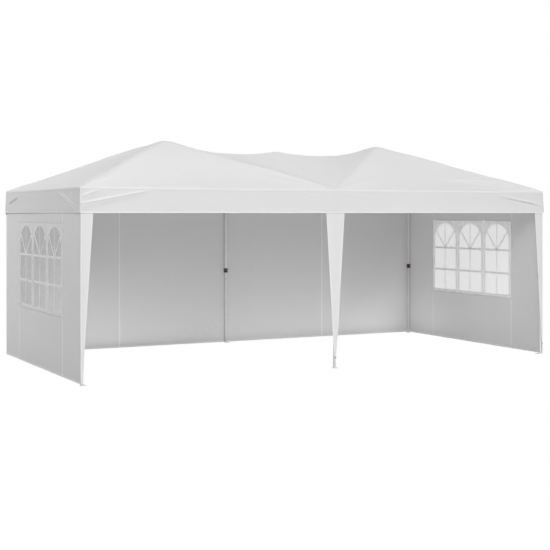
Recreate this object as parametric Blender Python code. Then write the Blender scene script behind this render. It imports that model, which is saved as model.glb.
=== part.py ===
"""Marquee tent: a white 3 m by 6 m pop-up party tent on six telescoping legs.

+X runs along the 6 m side, the open front faces -Y and +Z is up. The origin is on the
ground at the middle of the plan. All lengths are in metres.
"""

import math

import bmesh
import bpy
from mathutils import Matrix, Vector

# Overall shape of the canopy
HALF_LENGTH = 3.0  # outer faces of the end valances
HALF_WIDTH = 1.5  # outer faces of the front and back valances
VALANCE_BOTTOM_Z = 1.762
CORNER_Z = 2.036  # canopy over a corner leg
MIDDLE_LEG_Z = 2.020  # canopy over a middle leg
PEAK_Z = 2.635  # the two high peaks
SADDLE_Z = 2.532  # the low peak between them
LONG_EAVE_SAG = 0.018  # eave between two legs of a long side
SHORT_EAVE_SAG = 0.014  # eave between two legs of a short side
HIP_BOW = 0.010  # the hips bow up, over the frame
RIDGE_SAG = 0.080  # cloth between a high peak and the low one
VALLEY_SAG = 0.012  # cloth between a middle leg and the low peak
GORE_SAG = 0.030  # middle of a gore
GORE_STEPS = 8  # rows of a gore's mesh

# Cloth, film and the clearance between touching pieces
CLOTH = 0.003
FILM = 0.001
GAP = 0.0003

# Walls and leg covers hang against the inner side of the valance
WALL_TOP_Z = 1.795
WALL_BOTTOM_Z = 0.008
COVER_TOP_HALF = 0.121  # middle cover, half its width at the top
COVER_FOOT_HALF = 0.018  # and at the bottom
COVER_FOOT_Z = 0.130
CORNER_COVER_TOP = 0.1252  # width of a corner cover at the top
CORNER_COVER_KNEE = 0.041  # width where its taper ends
CORNER_COVER_KNEE_Z = 0.42
CORNER_COVER_FOOT = 0.036
RIGHT_COVER_FOOT_Z = 0.105
LEFT_COVER_FOOT_Z = 0.010

# Three arched windows in each end wall, closed by one sheet of clear film
WINDOW_PITCH = 0.58
WINDOW_HALF = 0.245
WINDOW_BOTTOM_Z = 0.690
WINDOW_SPRING_Z = 1.402
WINDOW_TOP_Z = 1.615
ARCH_STEPS = 12
FILM_HALF = 0.875
FILM_BOTTOM_Z = 0.650
FILM_TOP_Z = 1.670

# Legs: a square tube slides in a larger one
LEG_INSET = 0.027  # from a valance's outer face to the middle of the leg
UPPER_SIDE = 0.032
UPPER_BORE = 0.029
LOWER_SIDE = 0.025
LOWER_BORE = 0.0225
UPPER_BOTTOM_Z = 0.975
LOWER_TOP_Z = 1.080
FOOT_SIDE = 0.056
FOOT_THICKNESS = 0.004

# Adjuster: the housing of the push button, round the joint of the two tubes
ADJUSTER_SIDE = 0.0372
ADJUSTER_BOTTOM_Z = 0.953
ADJUSTER_TOP_Z = 1.010
BUTTON_SIDE = 0.016
BUTTON_REACH = 0.006

# Brackets on the upper leg, which carry the ends of the scissor bars
BRACKET_BOTTOM_Z = 1.965
BRACKET_TOP_Z = 2.012
SLIDER_BOTTOM_Z = 1.800
SLIDER_TOP_Z = 1.846

# Scissor bars
BAR_HEIGHT = 0.024
BAR_THICKNESS = 0.012
HIGH_PIVOT_Z = 1.996
LOW_PIVOT_Z = 1.823
PIVOT_OVERRUN = 0.012  # a bar runs this far past its pivot

# Poles that lift the canopy
HUB_SIDE = 0.060
HUB_HEIGHT = 0.040
PEAK_POLE_SIDE = 0.025
SADDLE_POLE_SIDE = 0.020
PEAK_FALL = 0.42  # how steeply the canopy falls away from a peak pole
SADDLE_FALL = 0.55  # and from the corner of the pole under the low peak

# Places worked out from the sizes above
LEG_X = HALF_LENGTH - LEG_INSET
LEG_Y = HALF_WIDTH - LEG_INSET
PEAK_X = LEG_X / 2
HUNG_LENGTH = HALF_LENGTH - CLOTH - GAP  # outer face of what hangs inside a valance
HUNG_WIDTH = HALF_WIDTH - CLOTH - GAP
BRACKET_SIDE = 2 * (LEG_INSET - CLOTH - GAP)
SIDES = {"left": -1, "right": 1}
ROWS = {"front": -1, "back": 1}

# Peaks and low points of the canopy in plan, for the bay on the +X side
CORNER_FRONT = Vector((HALF_LENGTH, -HALF_WIDTH))
CORNER_BACK = Vector((HALF_LENGTH, HALF_WIDTH))
MIDDLE_FRONT = Vector((0.0, -HALF_WIDTH))
MIDDLE_BACK = Vector((0.0, HALF_WIDTH))
PEAK = Vector((PEAK_X, 0.0))
SADDLE = Vector((0.0, 0.0))


def clear_scene():
    for obj in list(bpy.data.objects):
        bpy.data.objects.remove(obj, do_unlink=True)


def new_collection(name):
    collection = bpy.data.collections.new(name)
    bpy.context.scene.collection.children.link(collection)
    return collection


def new_material(name, color, roughness, metallic=0.0, alpha=1.0):
    material = bpy.data.materials.new(name)
    material.use_nodes = True
    shader = material.node_tree.nodes["Principled BSDF"]
    shader.inputs["Base Color"].default_value = (*color, 1.0)
    shader.inputs["Roughness"].default_value = roughness
    shader.inputs["Metallic"].default_value = metallic
    shader.inputs["Alpha"].default_value = alpha
    return material


def add_object(name, data, material, matrix=None):
    """A named node in the collection of parts."""
    obj = bpy.data.objects.new(name, data)
    obj.matrix_world = matrix or Matrix.Identity(4)
    if not data.materials:
        data.materials.append(material)
    PARTS.objects.link(obj)
    return obj


def box_mesh(name, low, high):
    """A box between two corners."""
    low, high = Vector(low), Vector(high)
    size = high - low
    bm = bmesh.new()
    place = Matrix.Translation((low + high) / 2) @ Matrix.Diagonal((*size, 1.0))
    bmesh.ops.create_cube(bm, size=1.0, matrix=place)
    mesh = bpy.data.meshes.new(name)
    bm.to_mesh(mesh)
    bm.free()
    return mesh


def square_mesh(name, side, bottom, top, x=0.0, y=0.0):
    """An upright square block round a vertical line."""
    half = side / 2
    return box_mesh(name, (x - half, y - half, bottom), (x + half, y + half, top))


def bar_mesh(name, start, end):
    """A flat bar, on edge, from one point to another."""
    start, end = Vector(start), Vector(end)
    along = end - start
    flat = Vector((along.x, along.y, 0.0)).normalized()
    across = Vector((0, 0, 1)).cross(flat)
    forward = along.normalized()
    up = forward.cross(across)
    turn = Matrix((forward, across, up)).transposed().to_4x4()
    size = Matrix.Diagonal((along.length, BAR_THICKNESS, BAR_HEIGHT, 1.0))
    bm = bmesh.new()
    place = Matrix.Translation((start + end) / 2) @ turn @ size
    bmesh.ops.create_cube(bm, size=1.0, matrix=place)
    bmesh.ops.recalc_face_normals(bm, faces=bm.faces)
    mesh = bpy.data.meshes.new(name)
    bm.to_mesh(mesh)
    bm.free()
    return mesh


def combined_mesh(name, base, joined=(), cut=()):
    """One closed mesh: base with the joined meshes added and the cut ones taken away."""
    owner = bpy.data.objects.new(name, base)
    TOOLS.objects.link(owner)
    helpers = []
    for operation, meshes in (("UNION", joined), ("DIFFERENCE", cut)):
        for mesh in meshes:
            helper = bpy.data.objects.new(mesh.name, mesh)
            helper.hide_render = True
            helper.display_type = "WIRE"
            TOOLS.objects.link(helper)
            modifier = owner.modifiers.new(operation.lower(), "BOOLEAN")
            modifier.operation = operation
            modifier.solver = "EXACT"
            modifier.object = helper
            helpers.append(helper)
    depsgraph = bpy.context.evaluated_depsgraph_get()
    mesh = bpy.data.meshes.new_from_object(owner.evaluated_get(depsgraph))
    mesh.name = name
    for obj in [owner, *helpers]:
        bpy.data.objects.remove(obj, do_unlink=True)
    return mesh


def standing(plane, facing_x=False):
    """Turns a flat outline upright, its middle plane at the given y, or x for an end wall."""
    if facing_x:
        place = Matrix.Translation((plane, 0, 0)) @ Matrix.Rotation(math.pi / 2, 4, "Z")
    else:
        place = Matrix.Translation((0, plane, 0))
    return place @ Matrix.Rotation(math.pi / 2, 4, "X")


def add_flat_sheet(name, outlines, thickness, place, material):
    """A flat sheet from a filled 2D curve: the first outline is its edge, the others are holes."""
    curve = bpy.data.curves.new(name, "CURVE")
    curve.dimensions = "2D"
    curve.fill_mode = "BOTH"
    curve.extrude = thickness / 2
    for outline in outlines:
        spline = curve.splines.new("POLY")
        spline.points.add(len(outline) - 1)
        spline.use_cyclic_u = True
        for point, (u, v) in zip(spline.points, outline):
            point.co = (u, v, 0.0, 1.0)
    return add_object(name, curve, material, place)


def rectangle(left, right, bottom, top):
    return [(left, bottom), (right, bottom), (right, top), (left, top)]


def patch_height(weights, heights, edge_sags, middle_sag):
    """Height of sagging cloth in a triangle, from a point's shares of its three corners."""
    a, b, c = weights
    level = a * heights[0] + b * heights[1] + c * heights[2]
    edges = edge_sags[0] * a * b + edge_sags[1] * b * c + edge_sags[2] * c * a
    return level - 4 * edges - 27 * middle_sag * a * b * c


LONG_GORE = (
    (MIDDLE_LEG_Z, CORNER_Z, PEAK_Z),
    (LONG_EAVE_SAG, -HIP_BOW, -HIP_BOW),
    GORE_SAG,
)
END_GORE = (
    (CORNER_Z, CORNER_Z, PEAK_Z),
    (SHORT_EAVE_SAG, -HIP_BOW, -HIP_BOW),
    GORE_SAG,
)
INNER_GORE = (
    (MIDDLE_LEG_Z, SADDLE_Z, PEAK_Z),
    (VALLEY_SAG, RIDGE_SAG, -HIP_BOW),
    GORE_SAG / 2,
)


def incentre(corners):
    """Middle and radius of the circle inside a triangle."""
    a, b, c = corners
    lengths = [(b - c).length, (c - a).length, (a - b).length]
    perimeter = sum(lengths)
    middle = (a * lengths[0] + b * lengths[1] + c * lengths[2]) / perimeter
    area = abs((b - a).x * (c - a).y - (b - a).y * (c - a).x) / 2
    return middle, 2 * area / perimeter


def add_gore(name, outline, patches, side):
    """A sewn panel of the canopy: triangular patches of sagging cloth inside one outline.

    The panel is drawn in slightly from its outline, so that neighbours don't touch.
    """
    middle, radius = incentre(outline)
    shrink = 1 - GAP / 2 / radius
    bm = bmesh.new()
    for corners, shape in patches:
        rows = []
        for i in range(GORE_STEPS + 1):
            row = []
            for j in range(GORE_STEPS + 1 - i):
                b, c = j / GORE_STEPS, i / GORE_STEPS
                a = 1 - b - c
                plan = corners[0] * a + corners[1] * b + corners[2] * c
                plan = middle + (plan - middle) * shrink
                height = patch_height((a, b, c), *shape)
                row.append(bm.verts.new((side * plan.x, plan.y, height)))
            rows.append(row)
        for low, high in zip(rows, rows[1:]):
            for j, apex in enumerate(high):
                bm.faces.new((low[j], low[j + 1], apex))
            for j in range(len(high) - 1):
                bm.faces.new((low[j + 1], high[j + 1], high[j]))
    bmesh.ops.remove_doubles(bm, verts=bm.verts, dist=1e-5)
    bmesh.ops.recalc_face_normals(bm, faces=bm.faces)
    lower = bmesh.ops.extrude_face_region(bm, geom=list(bm.faces))["geom"]
    moved = [item for item in lower if isinstance(item, bmesh.types.BMVert)]
    bmesh.ops.translate(bm, verts=moved, vec=(0, 0, -CLOTH))
    bmesh.ops.recalc_face_normals(bm, faces=bm.faces)
    mesh = bpy.data.meshes.new(name)
    bm.to_mesh(mesh)
    bm.free()
    return add_object(name, mesh, CANOPY)


def add_canopy():
    for side_name, side in SIDES.items():
        for row_name, corner, leg in (
            ("front", CORNER_FRONT, MIDDLE_FRONT),
            ("back", CORNER_BACK, MIDDLE_BACK),
        ):
            outline = (leg, corner, PEAK)
            name = f"roof_{side_name}_{row_name}"
            add_gore(name, outline, [(outline, LONG_GORE)], side)
        outline = (CORNER_FRONT, CORNER_BACK, PEAK)
        add_gore(f"roof_{side_name}_end", outline, [(outline, END_GORE)], side)
        outline = (MIDDLE_FRONT, PEAK, MIDDLE_BACK)
        patches = [((leg, SADDLE, PEAK), INNER_GORE) for leg in (MIDDLE_FRONT, MIDDLE_BACK)]
        add_gore(f"roof_{side_name}_inner", outline, patches, side)


def valance_top(position, middle_z, sag, middle, half):
    """Top edge of a valance: it follows the underside of the canopy's eave."""
    share = abs(position - middle) / half
    level = middle_z + (CORNER_Z - middle_z) * share
    return level - 4 * sag * share * (1 - share) - CLOTH - GAP


def add_valances():
    long_steps = 2 * GORE_STEPS
    front_top = []
    for i in range(long_steps + 1):
        x = HALF_LENGTH * (1 - 2 * i / long_steps)
        front_top.append((x, valance_top(x, MIDDLE_LEG_Z, LONG_EAVE_SAG, 0.0, HALF_LENGTH)))
    ends = [(-HALF_LENGTH, VALANCE_BOTTOM_Z), (HALF_LENGTH, VALANCE_BOTTOM_Z)]
    for row_name, row in ROWS.items():
        place = standing(row * (HALF_WIDTH - CLOTH / 2))
        add_flat_sheet(f"valance_{row_name}", [ends + front_top], CLOTH, place, CANOPY)

    half = HUNG_WIDTH
    end_top = []
    for i in range(GORE_STEPS + 1):
        y = half * (1 - 2 * i / GORE_STEPS)
        share = (y + HALF_WIDTH) / (2 * HALF_WIDTH)
        sag = 4 * SHORT_EAVE_SAG * share * (1 - share)
        end_top.append((y, CORNER_Z - sag - CLOTH - GAP))
    ends = [(-half, VALANCE_BOTTOM_Z), (half, VALANCE_BOTTOM_Z)]
    for side_name, side in SIDES.items():
        place = standing(side * (HALF_LENGTH - CLOTH / 2), facing_x=True)
        add_flat_sheet(f"valance_{side_name}", [ends + end_top], CLOTH, place, CANOPY)


def window_outline(middle):
    """One arched window: straight sides under a half ellipse."""
    rise = WINDOW_TOP_Z - WINDOW_SPRING_Z
    points = [(middle - WINDOW_HALF, WINDOW_BOTTOM_Z), (middle + WINDOW_HALF, WINDOW_BOTTOM_Z)]
    for i in range(ARCH_STEPS + 1):
        angle = math.pi * i / ARCH_STEPS
        along = middle + WINDOW_HALF * math.cos(angle)
        points.append((along, WINDOW_SPRING_Z + rise * math.sin(angle)))
    return points


def add_walls():
    inner = HUNG_WIDTH - CLOTH - GAP
    windows = [window_outline(k * WINDOW_PITCH) for k in (-1, 0, 1)]
    wall = rectangle(-inner, inner, WALL_BOTTOM_Z, WALL_TOP_Z)
    film = rectangle(-FILM_HALF, FILM_HALF, FILM_BOTTOM_Z, FILM_TOP_Z)
    for name, side in SIDES.items():
        place = standing(side * (HUNG_LENGTH - CLOTH / 2), facing_x=True)
        add_flat_sheet(f"end_wall_{name}", [wall, *windows], CLOTH, place, WALL)
        place = standing(side * (HUNG_LENGTH - CLOTH - GAP - FILM / 2), facing_x=True)
        add_flat_sheet(f"window_film_{name}", [film], FILM, place, CLEAR)

    place = standing(HUNG_WIDTH - CLOTH / 2)
    for name, side in SIDES.items():
        reach = sorted((side * GAP / 2, side * HUNG_LENGTH))
        wall = rectangle(*reach, WALL_BOTTOM_Z, WALL_TOP_Z)
        add_flat_sheet(f"back_wall_{name}", [wall], CLOTH, place, WALL)


def corner_cover(side, foot_z):
    """Outline of a tapered strip of cloth in front of a corner leg."""
    widths = [
        (CORNER_COVER_FOOT, foot_z),
        (CORNER_COVER_KNEE, CORNER_COVER_KNEE_Z),
        (CORNER_COVER_TOP, WALL_TOP_Z),
    ]
    points = [(side * (HUNG_LENGTH - width), z) for width, z in widths]
    return points + [(side * HUNG_LENGTH, WALL_TOP_Z), (side * HUNG_LENGTH, foot_z)]


def add_leg_covers():
    place = standing(-(HUNG_WIDTH - CLOTH / 2))
    left = corner_cover(-1, LEFT_COVER_FOOT_Z)
    right = corner_cover(1, RIGHT_COVER_FOOT_Z)
    middle = [
        (-COVER_FOOT_HALF, COVER_FOOT_Z),
        (COVER_FOOT_HALF, COVER_FOOT_Z),
        (COVER_TOP_HALF, WALL_TOP_Z),
        (-COVER_TOP_HALF, WALL_TOP_Z),
    ]
    for name, outline in (("left", left), ("middle", middle), ("right", right)):
        add_flat_sheet(f"leg_cover_front_{name}", [outline], CLOTH, place, CANOPY)


def upper_leg_mesh():
    """Outer tube with the fixed bracket at its top and the slider below it."""
    tube = square_mesh("tube", UPPER_SIDE, UPPER_BOTTOM_Z, BRACKET_TOP_Z)
    bracket = square_mesh("bracket", BRACKET_SIDE, BRACKET_BOTTOM_Z, BRACKET_TOP_Z)
    slider = square_mesh("slider", BRACKET_SIDE, SLIDER_BOTTOM_Z, SLIDER_TOP_Z)
    bore = square_mesh("bore", UPPER_BORE, UPPER_BOTTOM_Z - 0.01, BRACKET_BOTTOM_Z + 0.02)
    return combined_mesh("upper_leg", tube, [bracket, slider], [bore])


def lower_leg_mesh():
    """Inner tube on its foot plate, which reaches out on two sides of the tube."""
    shift = (FOOT_SIDE - LOWER_SIDE) / 2
    tube = square_mesh("tube", LOWER_SIDE, 0.0, LOWER_TOP_Z)
    plate = square_mesh("plate", FOOT_SIDE, 0.0, FOOT_THICKNESS, shift, shift)
    bore = square_mesh("bore", LOWER_BORE, FOOT_THICKNESS, LOWER_TOP_Z + 0.01)
    return combined_mesh("lower_leg", tube, [plate], [bore])


def adjuster_mesh():
    """Housing that holds the upper tube's end, guides the lower tube and has a button."""
    block = square_mesh("block", ADJUSTER_SIDE, ADJUSTER_BOTTOM_Z, ADJUSTER_TOP_Z)
    upper_hole = UPPER_SIDE + 2 * GAP
    lower_hole = LOWER_SIDE + 0.001
    seat_z = UPPER_BOTTOM_Z - GAP
    middle_z = (ADJUSTER_BOTTOM_Z + ADJUSTER_TOP_Z) / 2
    button = box_mesh(
        "button",
        (-BUTTON_SIDE / 2, ADJUSTER_SIDE / 2 - 0.001, middle_z - BUTTON_SIDE / 2),
        (BUTTON_SIDE / 2, ADJUSTER_SIDE / 2 + BUTTON_REACH, middle_z + BUTTON_SIDE / 2),
    )
    seat = square_mesh("seat", upper_hole, seat_z, ADJUSTER_TOP_Z + 0.01)
    guide = square_mesh("guide", lower_hole, ADJUSTER_BOTTOM_Z - 0.01, ADJUSTER_TOP_Z)
    return combined_mesh("adjuster", block, [button], [seat, guide])


def add_legs():
    """Six equal legs, turned so that their foot plates stay inside the plan of the tent."""
    upper = upper_leg_mesh()
    lower = lower_leg_mesh()
    adjuster = adjuster_mesh()
    for row_name, row in ROWS.items():
        for column, x in (("left", -LEG_X), ("middle", 0.0), ("right", LEG_X)):
            name = f"{row_name}_{column}"
            place = Matrix.Translation((x, row * LEG_Y, 0))
            inward = Matrix.Rotation(0 if row < 0 else math.pi, 4, "Z")
            if column == "right":
                quarter_turns = 1 if row < 0 else 2
            else:
                quarter_turns = 0 if row < 0 else 3
            turn = Matrix.Rotation(quarter_turns * math.pi / 2, 4, "Z")
            add_object(f"upper_leg_{name}", upper, STEEL, place)
            add_object(f"adjuster_{name}", adjuster, PLASTIC, place @ inward)
            add_object(f"lower_leg_{name}", lower, STEEL, place @ turn)


def truss_bars(span):
    """Four bars, as two crossed pairs side by side, between two legs along X."""
    tilt = math.atan2(HIGH_PIVOT_Z - LOW_PIVOT_Z, span / 2)
    face = span / 2 - BRACKET_SIDE / 2 - GAP
    outer = face - BAR_HEIGHT / 2 * math.sin(tilt)
    slope = math.tan(tilt)
    bars = []
    for side in (-1, 1):
        for start, end in ((LOW_PIVOT_Z, HIGH_PIVOT_Z), (HIGH_PIVOT_Z, LOW_PIVOT_Z)):
            rise = math.copysign(PIVOT_OVERRUN * slope, end - start)
            inner = (-side * PIVOT_OVERRUN, 0, end + rise)
            bars.append(bar_mesh("bar", (side * outer, 0, start), inner))
    return bars


def truss_mesh(name, span, extra=()):
    bars = truss_bars(span)
    return combined_mesh(name, bars[0], [*bars[1:], *extra])


def add_trusses():
    long_truss = truss_mesh("long_truss", LEG_X)
    short_truss = truss_mesh("short_truss", 2 * LEG_Y)
    quarter_turn = Matrix.Rotation(math.pi / 2, 4, "Z")
    for row_name, row in ROWS.items():
        for side_name, side in SIDES.items():
            place = Matrix.Translation((side * PEAK_X, row * LEG_Y, 0))
            add_object(f"truss_{row_name}_{side_name}", long_truss, STEEL, place)
    for side_name, side in SIDES.items():
        place = Matrix.Translation((side * LEG_X, 0, 0)) @ quarter_turn
        add_object(f"truss_end_{side_name}", short_truss, STEEL, place)

    pole_top = SADDLE_Z - SADDLE_FALL * SADDLE_POLE_SIDE / 2 - CLOTH - GAP
    pole_bottom = HIGH_PIVOT_Z + BAR_HEIGHT / 2 + 2 * GAP
    pole = square_mesh("pole", SADDLE_POLE_SIDE, pole_bottom, pole_top)
    half, across = PIVOT_OVERRUN, BAR_THICKNESS / 2
    low, high = (-half, -across, HIGH_PIVOT_Z), (half, across, pole_bottom + BAR_THICKNESS)
    middle = truss_mesh("middle_truss", 2 * LEG_Y, [box_mesh("foot", low, high), pole])
    add_object("truss_middle_with_pole", middle, STEEL, quarter_turn)


def add_inner_trusses():
    """In each bay crossed bars run from the four sides to a hub with the peak pole."""
    pole_top = PEAK_Z - PEAK_FALL * PEAK_POLE_SIDE / 2 - CLOTH - GAP
    pole_bottom = LOW_PIVOT_Z - BAR_HEIGHT / 2
    pole = square_mesh("pole", PEAK_POLE_SIDE, pole_bottom, pole_top)
    pieces = []
    for middle_z in (HIGH_PIVOT_Z, LOW_PIVOT_Z + HUB_HEIGHT / 2 - BAR_HEIGHT / 2):
        bottom = middle_z - HUB_HEIGHT / 2
        pieces.append(square_mesh("hub", HUB_SIDE, bottom, bottom + HUB_HEIGHT))
    for direction, reach in ((Vector((1, 0, 0)), PEAK_X), (Vector((0, 1, 0)), LEG_Y)):
        tilt = math.atan2(HIGH_PIVOT_Z - LOW_PIVOT_Z, reach)
        outer = reach - BAR_THICKNESS / 2 - GAP - BAR_HEIGHT / 2 * math.sin(tilt)
        for side in (-1, 1):
            for start, end in ((LOW_PIVOT_Z, HIGH_PIVOT_Z), (HIGH_PIVOT_Z, LOW_PIVOT_Z)):
                far = direction * side * outer
                near = direction * side * PEAK_POLE_SIDE / 4
                start_point = Vector((far.x, far.y, start))
                pieces.append(bar_mesh("bar", start_point, Vector((near.x, near.y, end))))
    mesh = combined_mesh("inner_truss", pole, pieces)
    for side_name, side in SIDES.items():
        place = Matrix.Translation((side * PEAK_X, 0, 0))
        add_object(f"inner_truss_{side_name}_with_pole", mesh, STEEL, place)


clear_scene()
PARTS = new_collection("marquee_tent")
TOOLS = new_collection("cutters")
CANOPY = new_material("canopy_cloth", (0.86, 0.86, 0.86), 0.6)
WALL = new_material("wall_cloth", (0.80, 0.80, 0.80), 0.65)
CLEAR = new_material("clear_film", (0.85, 0.86, 0.87), 0.15, alpha=0.4)
STEEL = new_material("coated_steel", (0.72, 0.72, 0.73), 0.4, metallic=0.6)
PLASTIC = new_material("dark_red_plastic", (0.10, 0.012, 0.022), 0.35)

add_canopy()
add_valances()
add_walls()
add_leg_covers()
add_legs()
add_trusses()
add_inner_trusses()
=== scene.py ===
"""Looks of the marquee tent: cloth, seams, windows, frame, light and camera.

Lengths are in metres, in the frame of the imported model: +X along the 6 m side, the open
front faces -Y, +Z up.
"""

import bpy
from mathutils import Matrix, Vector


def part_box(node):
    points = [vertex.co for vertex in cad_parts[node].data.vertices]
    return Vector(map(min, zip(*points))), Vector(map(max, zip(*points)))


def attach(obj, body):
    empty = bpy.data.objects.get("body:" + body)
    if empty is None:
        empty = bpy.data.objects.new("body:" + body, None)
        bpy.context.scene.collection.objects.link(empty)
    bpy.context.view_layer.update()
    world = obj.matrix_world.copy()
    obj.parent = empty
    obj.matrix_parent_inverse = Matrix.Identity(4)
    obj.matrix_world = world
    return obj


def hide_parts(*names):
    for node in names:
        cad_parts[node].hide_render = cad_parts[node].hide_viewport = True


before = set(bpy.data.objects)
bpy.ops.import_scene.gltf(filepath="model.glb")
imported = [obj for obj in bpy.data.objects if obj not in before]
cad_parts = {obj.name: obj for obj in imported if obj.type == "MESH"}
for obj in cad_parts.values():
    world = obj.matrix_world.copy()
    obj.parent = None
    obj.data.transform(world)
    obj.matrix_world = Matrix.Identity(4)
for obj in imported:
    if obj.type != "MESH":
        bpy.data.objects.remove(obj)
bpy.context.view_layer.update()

import math

import bmesh
import bpy
import numpy as np
from mathutils import Matrix, Vector

ROOT = "tent"
SIDES = {"left": -1, "right": 1}
ROWS = {"front": -1, "back": 1}
COLUMNS = {"left": -1, "middle": 0, "right": 1}
UP = Vector((0, 0, 1))
WAYS = [Vector((1, 0, 0)), Vector((-1, 0, 0)), Vector((0, 1, 0)), Vector((0, -1, 0))]

# Sizes read from the frame
HALF_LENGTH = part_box("valance_front")[1].x
HALF_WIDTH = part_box("valance_back")[1].y
VALANCE_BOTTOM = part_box("valance_front")[0].z
WALL_BOTTOM, WALL_TOP = (corner.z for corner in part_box("end_wall_left"))
WALL_X = sum(corner.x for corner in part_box("end_wall_right")) / 2
WALL_Y = sum(corner.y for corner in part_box("back_wall_left")) / 2
FILM_BOTTOM, FILM_TOP = (corner.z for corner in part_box("window_film_right"))
FILM_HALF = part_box("window_film_right")[1].y
PEAK_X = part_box("roof_right_end")[0].x
PEAK_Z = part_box("roof_right_end")[1].z
LEG_X = sum(corner.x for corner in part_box("upper_leg_front_right")) / 2
LEG_Y = sum(corner.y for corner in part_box("truss_back_left")) / 2
UPPER_BOTTOM, BRACKET_TOP = (corner.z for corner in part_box("upper_leg_front_left"))
LOWER_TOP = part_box("lower_leg_front_left")[1].z
ADJUSTER_BOTTOM, ADJUSTER_TOP = (corner.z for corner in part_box("adjuster_front_left"))

# Canopy: heights of the cloth and how much it sags, close to the solid model
CORNER_Z = 2.031
MIDDLE_LEG_Z = 2.027
SADDLE_Z = 2.536
EAVE_SAG = 0.002
HIP_BOW = 0.012
RIDGE_SAG = 0.080
VALLEY_SAG = 0.012
GORE_SAG = 0.030
CANOPY_STEPS = 84  # mesh steps across a quarter of a bay
HIP_ROUNDS = 13  # rounds of smoothing along hips and valleys
PEAK_ROUNDS = 8  # the same, close to a peak
PEAK_LIFT = 0.004  # so that a rounded peak still stands over its pole
PEAK_CAP = 2.627  # the cloth is flattened below this height, over the pole's cap
PEAK_SOFTNESS = 0.006
SEAM_WIDTH = 0.012
SEAM_THICKNESS = 0.0006
SEAM_INSET = 0.01  # a seam ends this far inside the eave
CORNER_TURNS = 6  # points round a corner of the eave

# Eave: the canopy folds down over it and is sewn to the valance under a bead, whose lighter tone is a
# painted highlight along the fold
EAVE_ROUND = 0.010  # radius of the fold
EAVE_SLOPE = 0.32  # slope of the canopy where the fold starts, as an angle
EAVE_REACH = EAVE_ROUND * (1 - math.sin(EAVE_SLOPE))
BEAD_Z = 2.0145
BEAD_WIDTH = 0.008
BEAD_THICKNESS = 0.0018
# Corner seams: lighter strips down the valance's corners, a painted highlight on the corner folds
CORNER_HIGHLIGHT_SEAM_WIDTH = 0.010
CORNER_HIGHLIGHT_SEAM_THICKNESS = 0.0014

# Valance
VALANCE_INSET = 0.0006
VALANCE_STEP = 0.012
END_STEP = 0.0065
VALANCE_LEVELS = 46
END_HEM_RISE = 0.0015  # the hem is higher at the two ends of the tent
END_FLARE = 0.014  # the ends stand out towards these corners: back left and front right
HEM_WIDTH = 0.012
HEM_THICKNESS = 0.0012

# Walls: the left end wall's foot is a little higher than the drawn one, at its front and back
FOOT_RISE = {-1: (0.011, 0.003), 1: (0.0, 0.0)}
FRONT_PULL = {-1: 0.005, 1: 0.0}  # how far its front edge is pulled in towards the leg
PULL_GAP = 0.12  # not pulled in over the adjuster, this far up and down
CLIP_SIDE = 0.014  # dark clip at the top of each end wall's back edge
END_WALL_HALF = HALF_WIDTH - 0.0075
END_WALL_STEPS = (0.018, 0.02, 0.018)  # mesh steps before, across and after the panel
SEAM_TAPE_WIDTH = 0.016
EDGE_WIDTH = 0.014
EDGE_THICKNESS = 0.0008
WALL_HEM_WIDTH = 0.018
WALL_HEM_THICKNESS = 0.0011
WALL_HEM_Z = WALL_BOTTOM + WALL_HEM_WIDTH / 2
BACK_INNER, BACK_OUTER = 0.0012, HALF_LENGTH - 0.0045  # the two edges of a back wall
BACK_EDGE_WIDTH = 0.044  # doubled cloth where the back walls meet
BACK_SEAM_X = 1.515

# Windows
WINDOW_PITCH = 0.58
WINDOW_HALF = 0.245
WINDOW_BOTTOM = 0.694
WINDOW_SPRING = 1.402
WINDOW_TOP = 1.615
BAR_LEVELS = (0.972, 1.275)
BAR_WIDTH = 0.028
MUNTIN_WIDTH = 0.015
DIAGONAL_WIDTH = 0.018
DIAGONAL_REACH = 0.21
DIAGONAL_TOP = 1.507
TAPE_WIDTH = 0.020
PANEL_MARGIN = 0.012  # the wall overlaps the film by this much
PANEL_HALF = FILM_HALF - PANEL_MARGIN / 2
PANEL_BOTTOM, PANEL_TOP = FILM_BOTTOM + PANEL_MARGIN, FILM_TOP - PANEL_MARGIN
BORDER_LAP = 0.003  # the printed border runs this far under the tape beside it

# Grey tape that holds walls and covers, just under the hem of the valance; its grey is partly a
# painted shade line under the hem
GRIP_SHADE_Z = 1.766
GRIP_SHADE_WIDTH = 0.018

# Leg covers: height, left and right side at the foot, at each bend and at the top
LEG_COVERS = {
    "left": [
        (0.025, -2.9910, -2.9630),
        (0.420, -2.9925, -2.9480),
        (0.980, -2.9940, -2.9109),
        (1.795, -2.9900, -2.8570),
    ],
    "middle": [(0.117, -0.0135, 0.0100), (0.330, -0.0285, 0.0285), (1.795, -0.1210, 0.1210)],
    "right": [(0.123, 2.9850, 2.9967), (0.480, 2.9557, 2.9967), (1.795, 2.8715, 2.9967)],
}
# The band's dark grey is partly painted shade under the cover's foot
COVERS_WITH_SHADE_BAND = ("middle", "right")  # with an elastic band at the foot

# Frame
UPPER_SIDE = 0.032
UPPER_BORE = 0.029
LOWER_SIDE = 0.025
LOWER_BORE = 0.0225
FOOT_SIDE = 0.056
FOOT_THICKNESS = 0.004
LOCK_HOLES = [ADJUSTER_BOTTOM - 0.09 - 0.16 * k for k in range(4)]  # their heights
BRACKET_SIDE = 0.0474
BRACKET_HEIGHT = 0.047
COLLAR_HALF = UPPER_SIDE / 2 + 0.004
LUG_OFFSET = 0.015
LUG_THICKNESS = 0.003
SLIDER_BOTTOM = 1.800
SLIDER_TOP = 1.846
ADJUSTER_SIDE = 0.0372
BUTTON_SIDE = 0.016
BAR_HEIGHT = 0.024
BAR_THICKNESS = 0.012
HIGH_PIVOT = 1.996
LOW_PIVOT = 1.823
HUB_SIDE = 0.060
HUB_HEIGHT = 0.040
PEAK_POLE_SIDE = 0.025
SADDLE_POLE_SIDE = 0.020


# Materials


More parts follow.
